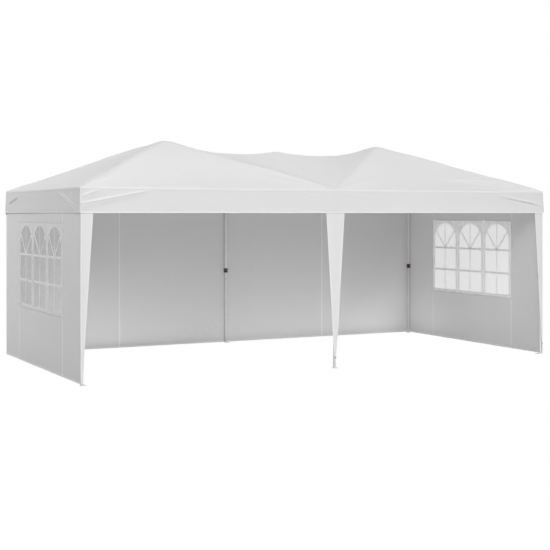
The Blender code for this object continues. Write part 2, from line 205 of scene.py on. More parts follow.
def set_values(node, **values):
    """Sets a node's inputs, or else its properties."""
    for key, value in values.items():
        title = key.replace("_", " ").title().replace("Ior", "IOR")
        if title in node.inputs:
            node.inputs[title].default_value = value
        else:
            setattr(node, key, value)
    return node


def add_node(tree, kind, **values):
    return set_values(tree.nodes.new(kind), **values)


def node_tree(name):
    material = bpy.data.materials.new(name)
    material.use_nodes = True
    tree = material.node_tree
    return material, tree, tree.nodes["Principled BSDF"], tree.nodes["Material Output"]


def link(tree, *steps):
    """Links (node, output) to (node, input), pair by pair."""
    for source, output, target, socket in steps:
        tree.links.new(source.outputs[output], target.inputs[socket])


def noise_between(tree, coordinates, scale, low, high):
    """Soft noise, as a number from low to high."""
    noise = add_node(tree, "ShaderNodeTexNoise", scale=scale, detail=3.0)
    spread = add_node(tree, "ShaderNodeMapRange", to_min=low, to_max=high)
    link(tree, (coordinates, 0, noise, "Vector"), (noise, "Fac", spread, "Value"))
    return spread


def shaded_color(tree, color, coordinates, scale, strength):
    """A colour that varies slightly in brightness over the surface."""
    spread = noise_between(tree, coordinates, scale, 1 - strength, 1.0)
    tint = add_node(tree, "ShaderNodeMix", data_type="RGBA", blend_type="MULTIPLY", factor=1.0)
    tint.inputs["A"].default_value = (*color, 1.0)
    link(tree, (spread, 0, tint, "B"))
    return tint


def bump_over(tree, source, output, strength, distance, below=None):
    bump = add_node(tree, "ShaderNodeBump", strength=strength, distance=distance)
    link(tree, (source, output, bump, "Height"))
    if below:
        link(tree, (below, "Normal", bump, "Normal"))
    return bump


def weave_height(tree, uv, pitch):
    """Over-and-under pattern of two sets of yarns, from a UV map in metres."""
    both = add_node(tree, "ShaderNodeMath", operation="MAXIMUM")
    for k, way in enumerate("XY"):
        wave = add_node(tree, "ShaderNodeTexWave", bands_direction=way, scale=math.pi / 10 / pitch)
        link(tree, (uv, "UV", wave, "Vector"), (wave, "Fac", both, k))
    return both


def stitch_height(tree, uv, offset):
    """Two rows of stitches, 3.5 mm long, along a strip whose V runs from its middle."""
    split = add_node(tree, "ShaderNodeSeparateXYZ")
    across = add_node(tree, "ShaderNodeMath", operation="ABSOLUTE")
    away = add_node(tree, "ShaderNodeMath", operation="SUBTRACT")
    away.inputs[1].default_value = offset
    distance = add_node(tree, "ShaderNodeMath", operation="ABSOLUTE")
    row = add_node(tree, "ShaderNodeMapRange", from_min=0.0009, from_max=0.0002)
    row.interpolation_type = "SMOOTHSTEP"
    wave = add_node(tree, "ShaderNodeTexWave", scale=math.pi / 10 / 0.0035)
    stitches = add_node(tree, "ShaderNodeMath", operation="MULTIPLY")
    link(tree, (uv, "UV", split, 0), (split, "Y", across, 0), (across, 0, away, 0))
    link(tree, (away, 0, distance, 0), (distance, 0, row, "Value"), (row, 0, stitches, 0))
    link(tree, (uv, "UV", wave, "Vector"), (wave, "Fac", stitches, 1))
    return stitches


def cloth_material(name, shade, glow, roughness=0.55, weave=0.0009, crumple=0.0012, stitched=0.0):
    """Thin woven cloth with a coating: glow is the share of light that comes through.

    stitched is the distance of two rows of stitches from the middle of a sewn strip.
    """
    material, tree, shader, output = node_tree(name)
    uv = add_node(tree, "ShaderNodeUVMap", uv_map="cloth")
    place = add_node(tree, "ShaderNodeTexCoord")
    tint = shaded_color(tree, (shade, shade, shade), place, 1.6, 0.025)
    creases = add_node(tree, "ShaderNodeTexNoise", scale=9.0, detail=4.0, roughness=0.55)
    link(tree, (place, "Object", creases, "Vector"))
    bump = bump_over(tree, creases, "Fac", 0.6, crumple)
    bump = bump_over(tree, weave_height(tree, uv, weave), 0, 0.35, 0.00012, bump)
    if stitched:
        bump = bump_over(tree, stitch_height(tree, uv, stitched), 0, 0.8, 0.0006, bump)
    set_values(shader, roughness=roughness, specular_ior_level=0.3)
    set_values(shader, sheen_weight=0.12, sheen_roughness=0.5)
    through = add_node(tree, "ShaderNodeBsdfTranslucent")
    mixed = add_node(tree, "ShaderNodeMixShader")
    mixed.inputs[0].default_value = glow
    link(tree, (tint, "Result", shader, "Base Color"), (bump, "Normal", shader, "Normal"))
    link(tree, (tint, "Result", through, "Color"), (bump, "Normal", through, "Normal"))
    link(tree, (shader, 0, mixed, 1), (through, 0, mixed, 2), (mixed, 0, output, "Surface"))
    return material


def film_material(name):
    """Clear plastic film with a faint haze, slightly wavy."""
    material, tree, shader, _ = node_tree(name)
    place = add_node(tree, "ShaderNodeTexCoord")
    tint = shaded_color(tree, (0.88, 0.875, 0.88), place, 2.5, 0.04)
    drawn_out = add_node(tree, "ShaderNodeMapping", scale=(1, 1, 0.12))
    waves = add_node(tree, "ShaderNodeTexNoise", scale=9.0, detail=2.0)
    link(tree, (place, "Object", drawn_out, "Vector"), (drawn_out, 0, waves, "Vector"))
    bump = bump_over(tree, waves, "Fac", 0.5, 0.0015)
    haze = noise_between(tree, drawn_out, 5.0, 0.40, 0.47)
    link(tree, (tint, "Result", shader, "Base Color"), (bump, "Normal", shader, "Normal"))
    link(tree, (haze, 0, shader, "Alpha"))
    set_values(shader, roughness=0.12)
    return material


def hard_material(name, color, roughness, metallic=0.0, coat=0.0):
    """Painted metal or moulded plastic, with a fine grain and a slightly uneven gloss."""
    material, tree, shader, _ = node_tree(name)
    place = add_node(tree, "ShaderNodeTexCoord")
    tint = shaded_color(tree, color, place, 14.0, 0.08)
    grains = add_node(tree, "ShaderNodeTexNoise", scale=900.0, detail=2.0)
    link(tree, (place, "Object", grains, "Vector"))
    bump = bump_over(tree, grains, "Fac", 0.4, 0.0002)
    gloss = noise_between(tree, place, 30.0, roughness - 0.06, roughness + 0.08)
    link(tree, (tint, "Result", shader, "Base Color"), (bump, "Normal", shader, "Normal"))
    link(tree, (gloss, 0, shader, "Roughness"))
    set_values(shader, metallic=metallic, coat_weight=coat)
    return material


CANOPY = cloth_material("canopy_cloth_look", 0.85, 0.16)
SKIRT = cloth_material("valance_cloth_look", 0.82, 0.14)
WALL = cloth_material("wall_cloth_look", 0.80, 0.045, crumple=0.0016)
COVER = cloth_material("cover_cloth_look", 0.83, 0.12)
PRINT = cloth_material("window_border_look", 0.97, 0.32, roughness=0.4, weave=0.0008)
BAR = cloth_material("window_bar_look", 0.98, 0.22, roughness=0.4, weave=0.0008)
SEAM = cloth_material("seam_look", 0.84, 0.20, crumple=0.0008, stitched=0.004)
# Lighter than the valance: painted highlight along the eave fold and down the valance corners
BEAD_HIGHLIGHT = cloth_material("bead_highlight_look", 0.90, 0.10, crumple=0.0004)
# Much lighter than the cloth: partly the thicker folded hem, partly a painted highlight along hems and
# edges
HEM_HIGHLIGHT = cloth_material("hem_highlight_look", 0.97, 0.10, crumple=0.0008, stitched=0.0045)
TAPE = cloth_material("window_tape_look", 0.98, 0.62, crumple=0.0006, stitched=0.006)
SEWN = cloth_material("sewn_tape_look", 0.98, 0.02, crumple=0.0006, stitched=0.006)
# Grey of this tape: partly its own colour, partly painted shade under the valance hem
GRIP_TAPE_SHADE = cloth_material("grip_tape_painted_shade_look", 0.78, 0.0, roughness=0.9, crumple=0.0004)
# Dark grey band: partly its own colour, partly painted shade under the cover's foot
BAND_AND_SHADE = cloth_material("elastic_band_shade_look", 0.42, 0.0, roughness=0.8, crumple=0.0004)
CLEAR = film_material("clear_film_look")
STEEL = hard_material("powder_coat_look", (0.87, 0.87, 0.88), 0.38, metallic=0.05)
ZINC = hard_material("zinc_look", (0.62, 0.62, 0.63), 0.32, metallic=0.9)
# Flat black discs drawn for holes: painted shade of a hole's dark inside
HOLE_SHADE = hard_material("painted_hole_shade_look", (0.03, 0.03, 0.03), 0.8)
PLASTIC = hard_material("adjuster_plastic_look", (0.062, 0.008, 0.016), 0.30, coat=0.2)
BUTTON = hard_material("button_look", (0.045, 0.006, 0.012), 0.25, coat=0.3)
CAP = hard_material("cap_look", (0.72, 0.72, 0.72), 0.5)


# Shapes


def add_object(name, data):
    obj = bpy.data.objects.new(name, data)
    bpy.context.scene.collection.objects.link(obj)
    return obj


def add_piece(name, mesh, body=ROOT):
    obj = add_object(name, mesh)
    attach(obj, body)
    return obj


def grid_faces(rows, columns, keep=None):
    """Quads between the points of a grid, all or those to keep."""
    faces = []
    for i in range(rows - 1):
        for j in range(columns - 1):
            if keep is None or keep[i][j]:
                k = i * columns + j
                faces.append((k, k + 1, k + columns + 1, k + columns))
    return faces


def add_surface(name, points, uv, material, faces=None):
    """A smooth sheet through a grid of points, with a UV map in metres."""
    mesh = bpy.data.meshes.new(name)
    mesh.from_pydata(points.reshape(-1, 3).tolist(), [], faces or grid_faces(*points.shape[:2]))
    layer = mesh.uv_layers.new(name="cloth")
    corners = np.empty(len(mesh.loops), np.int32)
    mesh.loops.foreach_get("vertex_index", corners)
    layer.data.foreach_set("uv", uv.reshape(-1, 2)[corners].astype(np.float32).ravel())
    mesh.polygons.foreach_set("use_smooth", np.ones(len(mesh.polygons), bool))
    mesh.materials.append(material)
    mesh.update()
    return add_piece(name, mesh)


def add_ribbon(name, path, normals, width, thickness, material, slot, loop=False, both=True):
    """A sewn strip along a path, thinner at its edges, on both sides of the cloth or on one."""
    normals = np.broadcast_to(np.asarray(normals, float), path.shape)
    if loop:
        tangents = np.roll(path, -1, 0) - np.roll(path, 1, 0)
    else:
        tangents = np.gradient(path, axis=0)
    tangents /= np.linalg.norm(tangents, axis=1)[:, None]
    across = np.cross(normals, tangents)
    across /= np.linalg.norm(across, axis=1)[:, None]
    profile = [(-0.5, 0.1), (-0.44, 0.8), (-0.2, 1.0), (0.2, 1.0), (0.44, 0.8), (0.5, 0.1)]
    if both:
        profile += [(u, -h) for u, h in reversed(profile)]
        profile.append(profile[0])
    u, height = (np.array(profile) * [width, thickness]).T[..., None]
    points = path[:, None] + across[:, None] * u + normals[:, None] * height
    lengths = np.concatenate([[0], np.cumsum(np.linalg.norm(np.diff(path, axis=0), axis=1))])
    uv = np.stack(np.broadcast_arrays(lengths[:, None], u[:, 0]), -1)
    if loop:
        points = np.concatenate([points, points[:1]])
        uv = np.concatenate([uv, uv[-1:] + [[VALANCE_STEP, 0.0]]])
    return add_surface(name, points, uv, material)


def straight(start, end, step=0.02):
    """Points along a straight line."""
    start, end = np.array(start, float), np.array(end, float)
    count = max(2, int(np.linalg.norm(end - start) / step) + 1)
    return start + (end - start) * np.linspace(0, 1, count)[:, None]


def ripple(u, v, wavelength, seed, count=9):
    """Smooth random waves from -1 to 1 or so, much like slack cloth."""
    random = np.random.default_rng(seed)
    total = np.zeros(np.broadcast(u, v).shape)
    for _ in range(count):
        angle, phase = random.uniform(0, 2 * math.pi, 2)
        pace = 2 * math.pi / (wavelength * random.uniform(0.7, 1.5))
        total += np.sin(pace * (u * math.cos(angle) + v * math.sin(angle)) + phase)
    return total / math.sqrt(count)


def strokes(u, v, creases):
    """Height of creases pressed in cloth, each from one point to another.

    A crease is (u, v, u, v, height, width). It fades at both ends, and a negative height
    is a groove.
    """
    total = np.zeros(np.broadcast(u, v).shape)
    for u0, v0, u1, v1, height, width in creases:
        along = np.array([u1 - u0, v1 - v0])
        length = float(np.hypot(*along))
        along = along / length
        t = ((u - u0) * along[0] + (v - v0) * along[1]) / length
        across = (u - u0) * -along[1] + (v - v0) * along[0]
        fade = 1 / (1 + np.exp(-14 * (t + 0.05))) / (1 + np.exp(14 * (t - 1.05)))
        total += height * np.exp(-((across / width) ** 2)) * fade
    return total


# Canopy


def patch_height(a, b, c, heights, sags, middle_sag):
    """Height of sagging cloth in a triangle, from a point's shares of its corners."""
    level = a * heights[0] + b * heights[1] + c * heights[2]
    edges = sags[0] * a * b + sags[1] * b * c + sags[2] * c * a
    return level - 4 * edges - 27 * middle_sag * a * b * c


def drawn_height(x, y):
    """The canopy's plain shape: four gores to each bay, sewn along straight lines."""
    x, far = np.abs(x), np.abs(y) / HALF_WIDTH
    outward = (x - PEAK_X) / (HALF_LENGTH - PEAK_X)
    inward = x / PEAK_X
    sags = (EAVE_SAG, -HIP_BOW, -HIP_BOW)
    shares = ((outward - y / HALF_WIDTH) / 2, (outward + y / HALF_WIDTH) / 2, 1 - outward)
    end = patch_height(*shares, (CORNER_Z, CORNER_Z, PEAK_Z), sags, GORE_SAG)
    along = (x - PEAK_X * (1 - far)) / HALF_LENGTH
    shares = (far - along, along, 1 - far)
    long = patch_height(*shares, (MIDDLE_LEG_Z, CORNER_Z, PEAK_Z), sags, GORE_SAG)
    sags = (VALLEY_SAG, RIDGE_SAG, -HIP_BOW)
    shares = (far, 1 - far - inward, inward)
    inner = patch_height(*shares, (MIDDLE_LEG_Z, SADDLE_Z, PEAK_Z), sags, GORE_SAG / 2)
    height = np.where(outward > far, end, long)
    return np.where(far + inward < 1, inner, height)


def pull_folds(x, y, spot, reach, folds, height, phase):
    """Soft folds that run out from a place where the cloth is pulled."""
    dx, dy = x - spot[0], y - spot[1]
    share = np.hypot(dx, dy) / reach
    swell = share * np.exp(1 - share)
    return height * swell**2 * np.cos(folds * np.arctan2(dy, dx) + phase)


# Broad lifts and dips of hips and ridge, then pulls in the cloth: x, y, x, y, height, width
CANOPY_CREASES = [
    (-2.98, 1.48, -2.78, 1.28, 0.010, 0.16),
    (-2.02, 0.54, -1.70, 0.22, 0.013, 0.16),
    (-2.80, -1.30, -1.80, -0.31, 0.005, 0.16),
    (1.75, -0.26, 2.10, -0.61, 0.010, 0.16),
    (2.62, -1.12, 2.98, -1.48, 0.015, 0.16),
    (1.80, 0.31, 2.80, 1.30, 0.005, 0.16),
    (-1.20, 0.0, -0.75, 0.0, -0.012, 0.25),
    (-0.10, 0.0, 0.60, 0.0, 0.005, 0.25),
    (0.85, 0.0, 1.25, 0.0, -0.009, 0.25),
    (-2.92, -1.36, -2.60, -1.00, 0.0085, 0.026),
    (-2.95, -1.46, -2.70, -1.22, 0.0085, 0.020),
    (-2.80, -1.38, -2.45, -1.10, 0.0060, 0.026),
    (-2.88, -1.10, -2.62, 0.10, 0.0045, 0.045),
    (-2.78, 0.20, -2.62, 0.90, 0.0090, 0.090),
    (-0.10, -1.385, -0.66, -0.86, 0.0100, 0.036),
    (-0.10, -1.46, -0.75, -1.10, 0.0040, 0.030),
    (0.06, -1.30, 0.20, -0.60, 0.0060, 0.060),
    (2.45, -1.17, 1.93, -1.09, 0.0085, 0.028),
    (2.84, -1.475, 2.10, -1.33, 0.0075, 0.022),
    (2.60, -1.42, 2.00, -1.22, -0.0045, 0.030),
    (0.10, -1.45, 0.75, -1.12, 0.0040, 0.026),
]


def cloth_detail(x, y):
    """Slack, creases and folds on top of the plain shape."""
    edge = np.minimum(HALF_LENGTH - np.abs(x), HALF_WIDTH - np.abs(y))
    inside = 1 - np.exp(-((edge / 0.12) ** 2))
    total = 0.0026 * ripple(x, y, 0.75, 11) * inside
    total += 0.0006 * ripple(x, y, 0.19, 12) * (0.3 + 0.7 * inside)
    total += 0.0003 * ripple(x, y, 0.10, 13)
    for k, side in enumerate((-1, 1)):
        total += pull_folds(x, y, (side * PEAK_X, 0.0), 0.11, 11, 0.0016, k)
        for m, row in enumerate((-1, 1)):
            corner = (side * HALF_LENGTH, row * HALF_WIDTH)
            total += pull_folds(x, y, corner, 0.22, 20, 0.0016, 2 * k + m)
    for m, row in enumerate((-1, 1)):
        total += pull_folds(x, y, (0.0, row * HALF_WIDTH), 0.20, 16, 0.0015, m)
    return total + strokes(x, y, CANOPY_CREASES) * (1 - np.exp(-((edge / 0.035) ** 2)))


def spaced(*stops):
    """Places along an axis: the same number of equal steps between stops."""
    runs = [np.linspace(a, b, CANOPY_STEPS + 1)[:-1] for a, b in zip(stops, stops[1:])]
    return np.concatenate([*runs, [stops[-1]]])


CANOPY_XS = spaced(EAVE_REACH - HALF_LENGTH, -PEAK_X, 0.0, PEAK_X, HALF_LENGTH - EAVE_REACH)
CANOPY_YS = spaced(EAVE_REACH - HALF_WIDTH, 0.0, HALF_WIDTH - EAVE_REACH)


def smoothed(z, rounds):
    z = z.copy()
    for _ in range(rounds):
        middle = (z[:-2, 1:-1] + z[2:, 1:-1] + z[1:-1, :-2] + z[1:-1, 2:]) / 4
        z[1:-1, 1:-1] += 0.8 * (middle - z[1:-1, 1:-1])
    return z


def canopy_heights():
    x, y = CANOPY_XS[None, :], CANOPY_YS[:, None]
    little = smoothed(drawn_height(x, y), PEAK_ROUNDS)
    much = smoothed(little, HIP_ROUNDS - PEAK_ROUNDS)
    away = np.hypot(np.abs(x) - PEAK_X, y)
    near = np.exp(-((away / 0.22) ** 2))
    cap = PEAK_LIFT * np.exp(-((away / 0.13) ** 2))
    z = little * near + much * (1 - near) + cap + cloth_detail(x, y)
    return PEAK_CAP - PEAK_SOFTNESS * np.log1p(np.exp((PEAK_CAP - z) / PEAK_SOFTNESS))


CANOPY_Z = canopy_heights()


def canopy_at(x, y):
    """Height of the finished canopy at places in plan."""
    i = np.clip(np.interp(x, CANOPY_XS, np.arange(len(CANOPY_XS))), 0, len(CANOPY_XS) - 1.001)
    j = np.clip(np.interp(y, CANOPY_YS, np.arange(len(CANOPY_YS))), 0, len(CANOPY_YS) - 1.001)
    i0, j0 = i.astype(int), j.astype(int)
    u, v = i - i0, j - j0
    near = CANOPY_Z[j0, i0] * (1 - u) + CANOPY_Z[j0, i0 + 1] * u
    far = CANOPY_Z[j0 + 1, i0] * (1 - u) + CANOPY_Z[j0 + 1, i0 + 1] * u
    return near * (1 - v) + far * v


def canopy_normals(x, y, step=0.02):
    """Upward normals of the canopy at places in plan."""
    dx = (canopy_at(x + step, y) - canopy_at(x - step, y)) / (2 * step)
    dy = (canopy_at(x, y + step) - canopy_at(x, y - step)) / (2 * step)
    normals = np.stack([-dx, -dy, np.ones_like(dx)], -1)
    return normals / np.linalg.norm(normals, axis=-1)[..., None]


def rim_of_grid(rows, columns):
    """Points round a grid, anticlockwise from its first corner, and their outward directions.

    A corner comes several times, as its direction turns from one side's to the next's.
    """
    grid = np.arange(rows * columns).reshape(rows, columns)
    order, angles = [], []
    for k, run in enumerate((grid[0], grid[:, -1], grid[-1, ::-1], grid[::-1, 0])):
        side = (k - 1) * math.pi / 2
        order += run[1:-1].tolist() + [int(run[-1])] * CORNER_TURNS
        angles += [side] * (len(run) - 2)
        angles += np.linspace(side, side + math.pi / 2, CORNER_TURNS).tolist()
    return order, np.stack([np.cos(angles), np.sin(angles)], -1)


def canopy_faces(rows, columns):
    """Triangles between the points of the canopy's grid, in line with the hips."""
    faces = []
    for j in range(rows - 1):
        for i in range(columns - 1):
            a, b = j * columns + i, j * columns + i + 1
            c, d = b + columns, a + columns
            block = i // CANOPY_STEPS + j // CANOPY_STEPS + (i >= 2 * CANOPY_STEPS)
            faces += [(a, b, c), (a, c, d)] if block % 2 else [(a, b, d), (b, c, d)]
    return faces


def add_canopy():
    """One continuous sheet, folded down at the eave, with seams under its hips and valleys."""
    x, y = np.meshgrid(CANOPY_XS, CANOPY_YS)
    points = np.stack([x, y, CANOPY_Z - 0.0008], -1).reshape(-1, 3)
    faces = canopy_faces(*x.shape)
    above, outward = rim_of_grid(*x.shape)
    rim = points[above]
    rings = []
    for angle in np.linspace(EAVE_SLOPE, math.pi / 2, 6)[1:]:
        ring = rim.copy()
        ring[:, :2] += outward * EAVE_ROUND * (math.sin(angle) - math.sin(EAVE_SLOPE))
        ring[:, 2] -= EAVE_ROUND * (math.cos(EAVE_SLOPE) - math.cos(angle))
        rings.append(ring)
    rings.append(rings[-1] * [1, 1, 0] + [0, 0, BEAD_Z - 0.001])
    for k in range(len(rings)):
        start = len(points) + k * len(rim)
        below = list(range(start, start + len(rim)))
        for corners in zip(above, below, below[1:] + below[:1], above[1:] + above[:1]):
            faces.append(tuple(dict.fromkeys(corners)))
        above = below
    points = np.concatenate([points, *rings])
    canopy = add_surface("canopy", points, points[:, :2], CANOPY, faces)
    gores = ("front", "back", "end", "inner")
    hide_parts(*[f"roof_{side}_{gore}" for side in SIDES for gore in gores])

    seams = {}
    for side_name, side in SIDES.items():
        peak = (side * PEAK_X, 0.0)
        for row_name, row in ROWS.items():
            corner = (side * (HALF_LENGTH - SEAM_INSET), row * (HALF_WIDTH - SEAM_INSET))
            seams[f"hip_seam_{row_name}_{side_name}"] = corner, peak
            seams[f"inner_hip_seam_{row_name}_{side_name}"] = (0.0, corner[1]), peak
    for row_name, row in ROWS.items():
        seams[f"valley_seam_{row_name}"] = (0.0, row * (HALF_WIDTH - SEAM_INSET)), (0.0, 0.0)
    for name, (start, end) in seams.items():
        x, y = straight(start, end, 0.018).T
        path = np.stack([x, y, canopy_at(x, y) - 0.0007], -1)
        look = (SEAM_WIDTH, SEAM_THICKNESS, SEAM, "canopy_cloth")
        add_ribbon(name, path, canopy_normals(x, y), *look, both=False)


# Valance


def valance_plan():
    """Rectangle with rounded corners round the tent, as points and outward directions."""
    centre_x, centre_y = HALF_LENGTH - EAVE_REACH, HALF_WIDTH - EAVE_REACH
    points, outward = [], []
    corners = ((1, -1, -90), (1, 1, 0), (-1, 1, 90), (-1, -1, 180))
    for k, (sx, sy, start) in enumerate(corners):
        centre = np.array([sx * centre_x, sy * centre_y])
        for angle in np.radians(np.linspace(start, start + 90, CORNER_TURNS)):
            outward.append(np.array([math.cos(angle), math.sin(angle)]))
            points.append(centre + (EAVE_REACH - VALANCE_INSET) * outward[-1])
        next_x, next_y, _ = corners[(k + 1) % 4]
        run = np.array([next_x * centre_x, next_y * centre_y]) - centre
        step = VALANCE_STEP if abs(run[0]) > 0.1 else END_STEP
        first, count = points[-1], int(round(np.linalg.norm(run) / step))
        for share in np.arange(1, count) / count:
            points.append(first + share * run)
            outward.append(outward[-1])
    return np.array(points), np.array(outward)


# Creases in the valance: distance along the side, height, the same, depth, width
FRONT_CREASES = [
    (-2.960, 1.942, -2.790, 2.008, 0.0075, 0.010),
    (-2.955, 1.915, -2.790, 1.980, 0.0045, 0.028),
    (-2.960, 1.866, -2.290, 1.992, 0.0075, 0.010),
    (-2.930, 1.846, -2.330, 1.966, 0.0055, 0.028),
    (2.370, 1.963, 2.850, 1.883, 0.0080, 0.014),
    (2.480, 1.921, 2.850, 1.861, -0.0075, 0.010),
    (2.700, 1.910, 2.970, 1.850, 0.0030, 0.014),
    (-0.060, 1.990, -0.420, 1.930, 0.0015, 0.015),
    (0.060, 1.990, 0.480, 1.935, 0.0015, 0.015),
]
LEFT_CREASES = [
    (1.290, 1.888, 0.990, 1.950, 0.0140, 0.010),
    (1.260, 1.868, 0.960, 1.930, -0.0130, 0.009),
    (-0.900, 1.965, -1.310, 1.834, 0.0080, 0.008),
    (-0.900, 1.948, -1.310, 1.817, -0.0135, 0.008),
    (-1.160, 1.995, -1.230, 1.945, 0.0050, 0.009),
    (-1.140, 1.980, -1.210, 1.930, -0.0060, 0.009),
    (-0.700, 1.985, -0.950, 1.925, 0.0030, 0.014),
]


def valance_wave(x, y, direction, z):
    """How far the valance stands out: slack near its hem, creases near its corners."""
    along_x = np.abs(direction[:, 1]) > 0.9
    u = np.where(along_x, x, y)[None, :]
    drop = np.clip((BEAD_Z - z) / (BEAD_Z - VALANCE_BOTTOM), 0, 1)
    seed = np.where(along_x, np.sign(y), 2 * np.sign(x))[None, :]
    wave = 0.0022 * ripple(u + 7 * seed, 0.35 * z, 0.62, 21) * drop**1.5
    wave += 0.0005 * ripple(u + 7 * seed, z, 0.16, 22) * drop
    for axis, creases in ((1, FRONT_CREASES), (0, LEFT_CREASES)):
        for turn in (1, -1):
            here = turn * direction[:, axis] < -0.9
            wave += np.where(here[None, :], strokes(turn * u, z, creases), 0)
    slant = np.clip(0.5 + np.sign(x) * -y / HALF_WIDTH, 0, 1.5)
    return wave + END_FLARE / 1.5 * slant * direction[:, 0] ** 2 * drop


def add_valance():
    """The skirt round the canopy, sewn on under the bead, with a hem at its foot."""
    plan, direction = valance_plan()
    x, y = plan.T
    top = BEAD_Z + 0.0015
    bottom = VALANCE_BOTTOM + 0.001 + END_HEM_RISE * direction[:, 0] ** 2
    z = top + (bottom - top) * np.linspace(0, 1, VALANCE_LEVELS + 1)[:, None]
    wave = valance_wave(x, y, direction, z) * np.clip((BEAD_Z - 0.004 - z) / 0.02, 0, 1)
    points = np.stack([x + wave * direction[:, 0], y + wave * direction[:, 1], z], -1)
    points = np.concatenate([points, points[:, :1]], 1)
    steps = np.linalg.norm(np.diff(np.vstack([plan, plan[:1]]), axis=0), axis=1)
    around = np.concatenate([[0], np.cumsum(steps)])
    uv = np.stack(np.broadcast_arrays(around[None, :], points[..., 2]), -1)
    valance = add_surface("valance", points, uv, SKIRT)
    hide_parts(*[f"valance_{side}" for side in ("front", "back", "left", "right")])

    def strip(name, path, outward, width, thickness, material, loop=False):
        look = (width, thickness, material, "canopy_cloth")
        add_ribbon(name, path, outward, *look, loop)

    normals = np.column_stack([direction, np.zeros(len(plan))])
    hem_row = points[-1, :-1] + [0, 0, HEM_WIDTH / 2 - 0.0005]
    # Lighter hem: partly a painted highlight along the valance's foot
    strip("valance_hem", hem_row, normals, HEM_WIDTH, HEM_THICKNESS, HEM_HIGHLIGHT, True)
    # The bead's lighter tone paints the highlight along the eave fold
    bead = np.column_stack([plan, np.full(len(plan), BEAD_Z)]) + normals * 0.0003
    strip("eave_bead", bead, normals, BEAD_WIDTH, BEAD_THICKNESS, BEAD_HIGHLIGHT, True)
    # Lighter seams down the corners paint the highlight of the corner folds
    turns = np.flatnonzero(np.abs(direction[:, 0] * direction[:, 1]) > 0.4)
    for name, first in zip(("front_right", "back_right", "back_left", "front_left"), turns[::2]):
        path = (points[:, first] + points[:, first + 1]) / 2
        outward = normals[first] + normals[first + 1]
        outward /= np.linalg.norm(outward)
        look = (CORNER_HIGHLIGHT_SEAM_WIDTH, CORNER_HIGHLIGHT_SEAM_THICKNESS, BEAD_HIGHLIGHT)
        strip(f"corner_highlight_seam_{name}", path, outward, *look)


# Walls and windows


def upright(u, z, out, side=None, row=None):
    """Points of a wall: u along it, z up, out away from the tent's middle."""
    u, z, out = np.broadcast_arrays(u, z, out)
    if side:
        return np.stack([side * out, u, z], -1)
    return np.stack([u, row * out, z], -1)


def wall_wave(u, z, seed, edges):
    """Slack of a hung wall: it grows towards the hem and dies away at the held edges."""
    low = np.clip((WALL_TOP - z) / (WALL_TOP - WALL_BOTTOM), 0, 1)
    held = np.ones(np.broadcast(u, z).shape)
    for edge in edges:
        held = held * (1 - 0.85 * np.exp(-(((u - edge) / 0.16) ** 2)))
    wave = 0.0030 * ripple(u, 0.18 * z, 0.70, seed) * (0.35 + 0.65 * low) * held
    wave += 0.0008 * ripple(u, 0.4 * z, 0.21, seed + 1) * (0.3 + 0.7 * low)
    return wave + 0.0004 * ripple(u, z, 0.12, seed + 2)


def window_ring(middle):
    """Grid of points from one window's arched edge out to the edges of its third of the panel."""
    t = np.linspace(0, 1, 21)[:-1]
    arch = np.linspace(0, math.pi, 41)[:-1]
    height = WINDOW_SPRING - WINDOW_BOTTOM
    u = WINDOW_HALF * np.concatenate([2 * t - 1, 0 * t + 1, np.cos(arch), 0 * t - 1])
    rise = (WINDOW_TOP - WINDOW_SPRING) * np.sin(arch)
    z = np.concatenate([0 * t - height, height * (t - 1), rise, -height * t]) + WINDOW_SPRING

    half = WINDOW_PITCH / 2 - TAPE_WIDTH / 2 + BORDER_LAP
    drop = (z - WINDOW_BOTTOM) / height
    over = z - WINDOW_SPRING
    least = 1e-9
    reach_u = half / np.maximum(np.abs(u), least)
    reach = np.minimum(reach_u, (PANEL_TOP - WINDOW_SPRING) / np.maximum(over, least))
    places = [drop <= 1e-6, over <= 1e-6]
    outer_u = np.select(places, [u * half / WINDOW_HALF, np.copysign(half, u)], u * reach)
    beside = PANEL_BOTTOM + drop * (WINDOW_SPRING - PANEL_BOTTOM)
    outer_z = np.select(places, [PANEL_BOTTOM, beside], WINDOW_SPRING + over * reach)
    t = np.linspace(0, 1, 7)[:, None, None]
    ring = np.stack([u, z], -1) * (1 - t) + np.stack([outer_u, outer_z], -1) * t
    return np.concatenate([ring, ring[:, :1]], 1) + [middle, 0.0]


def cells(stops, steps):
    """Places along an axis: between two stops, equal steps of about the given size."""
    places = [stops[:1]]
    for low, high, step in zip(stops, stops[1:], steps):
        places.append(np.linspace(low, high, int(round((high - low) / step)) + 1)[1:])
    return np.concatenate(places)


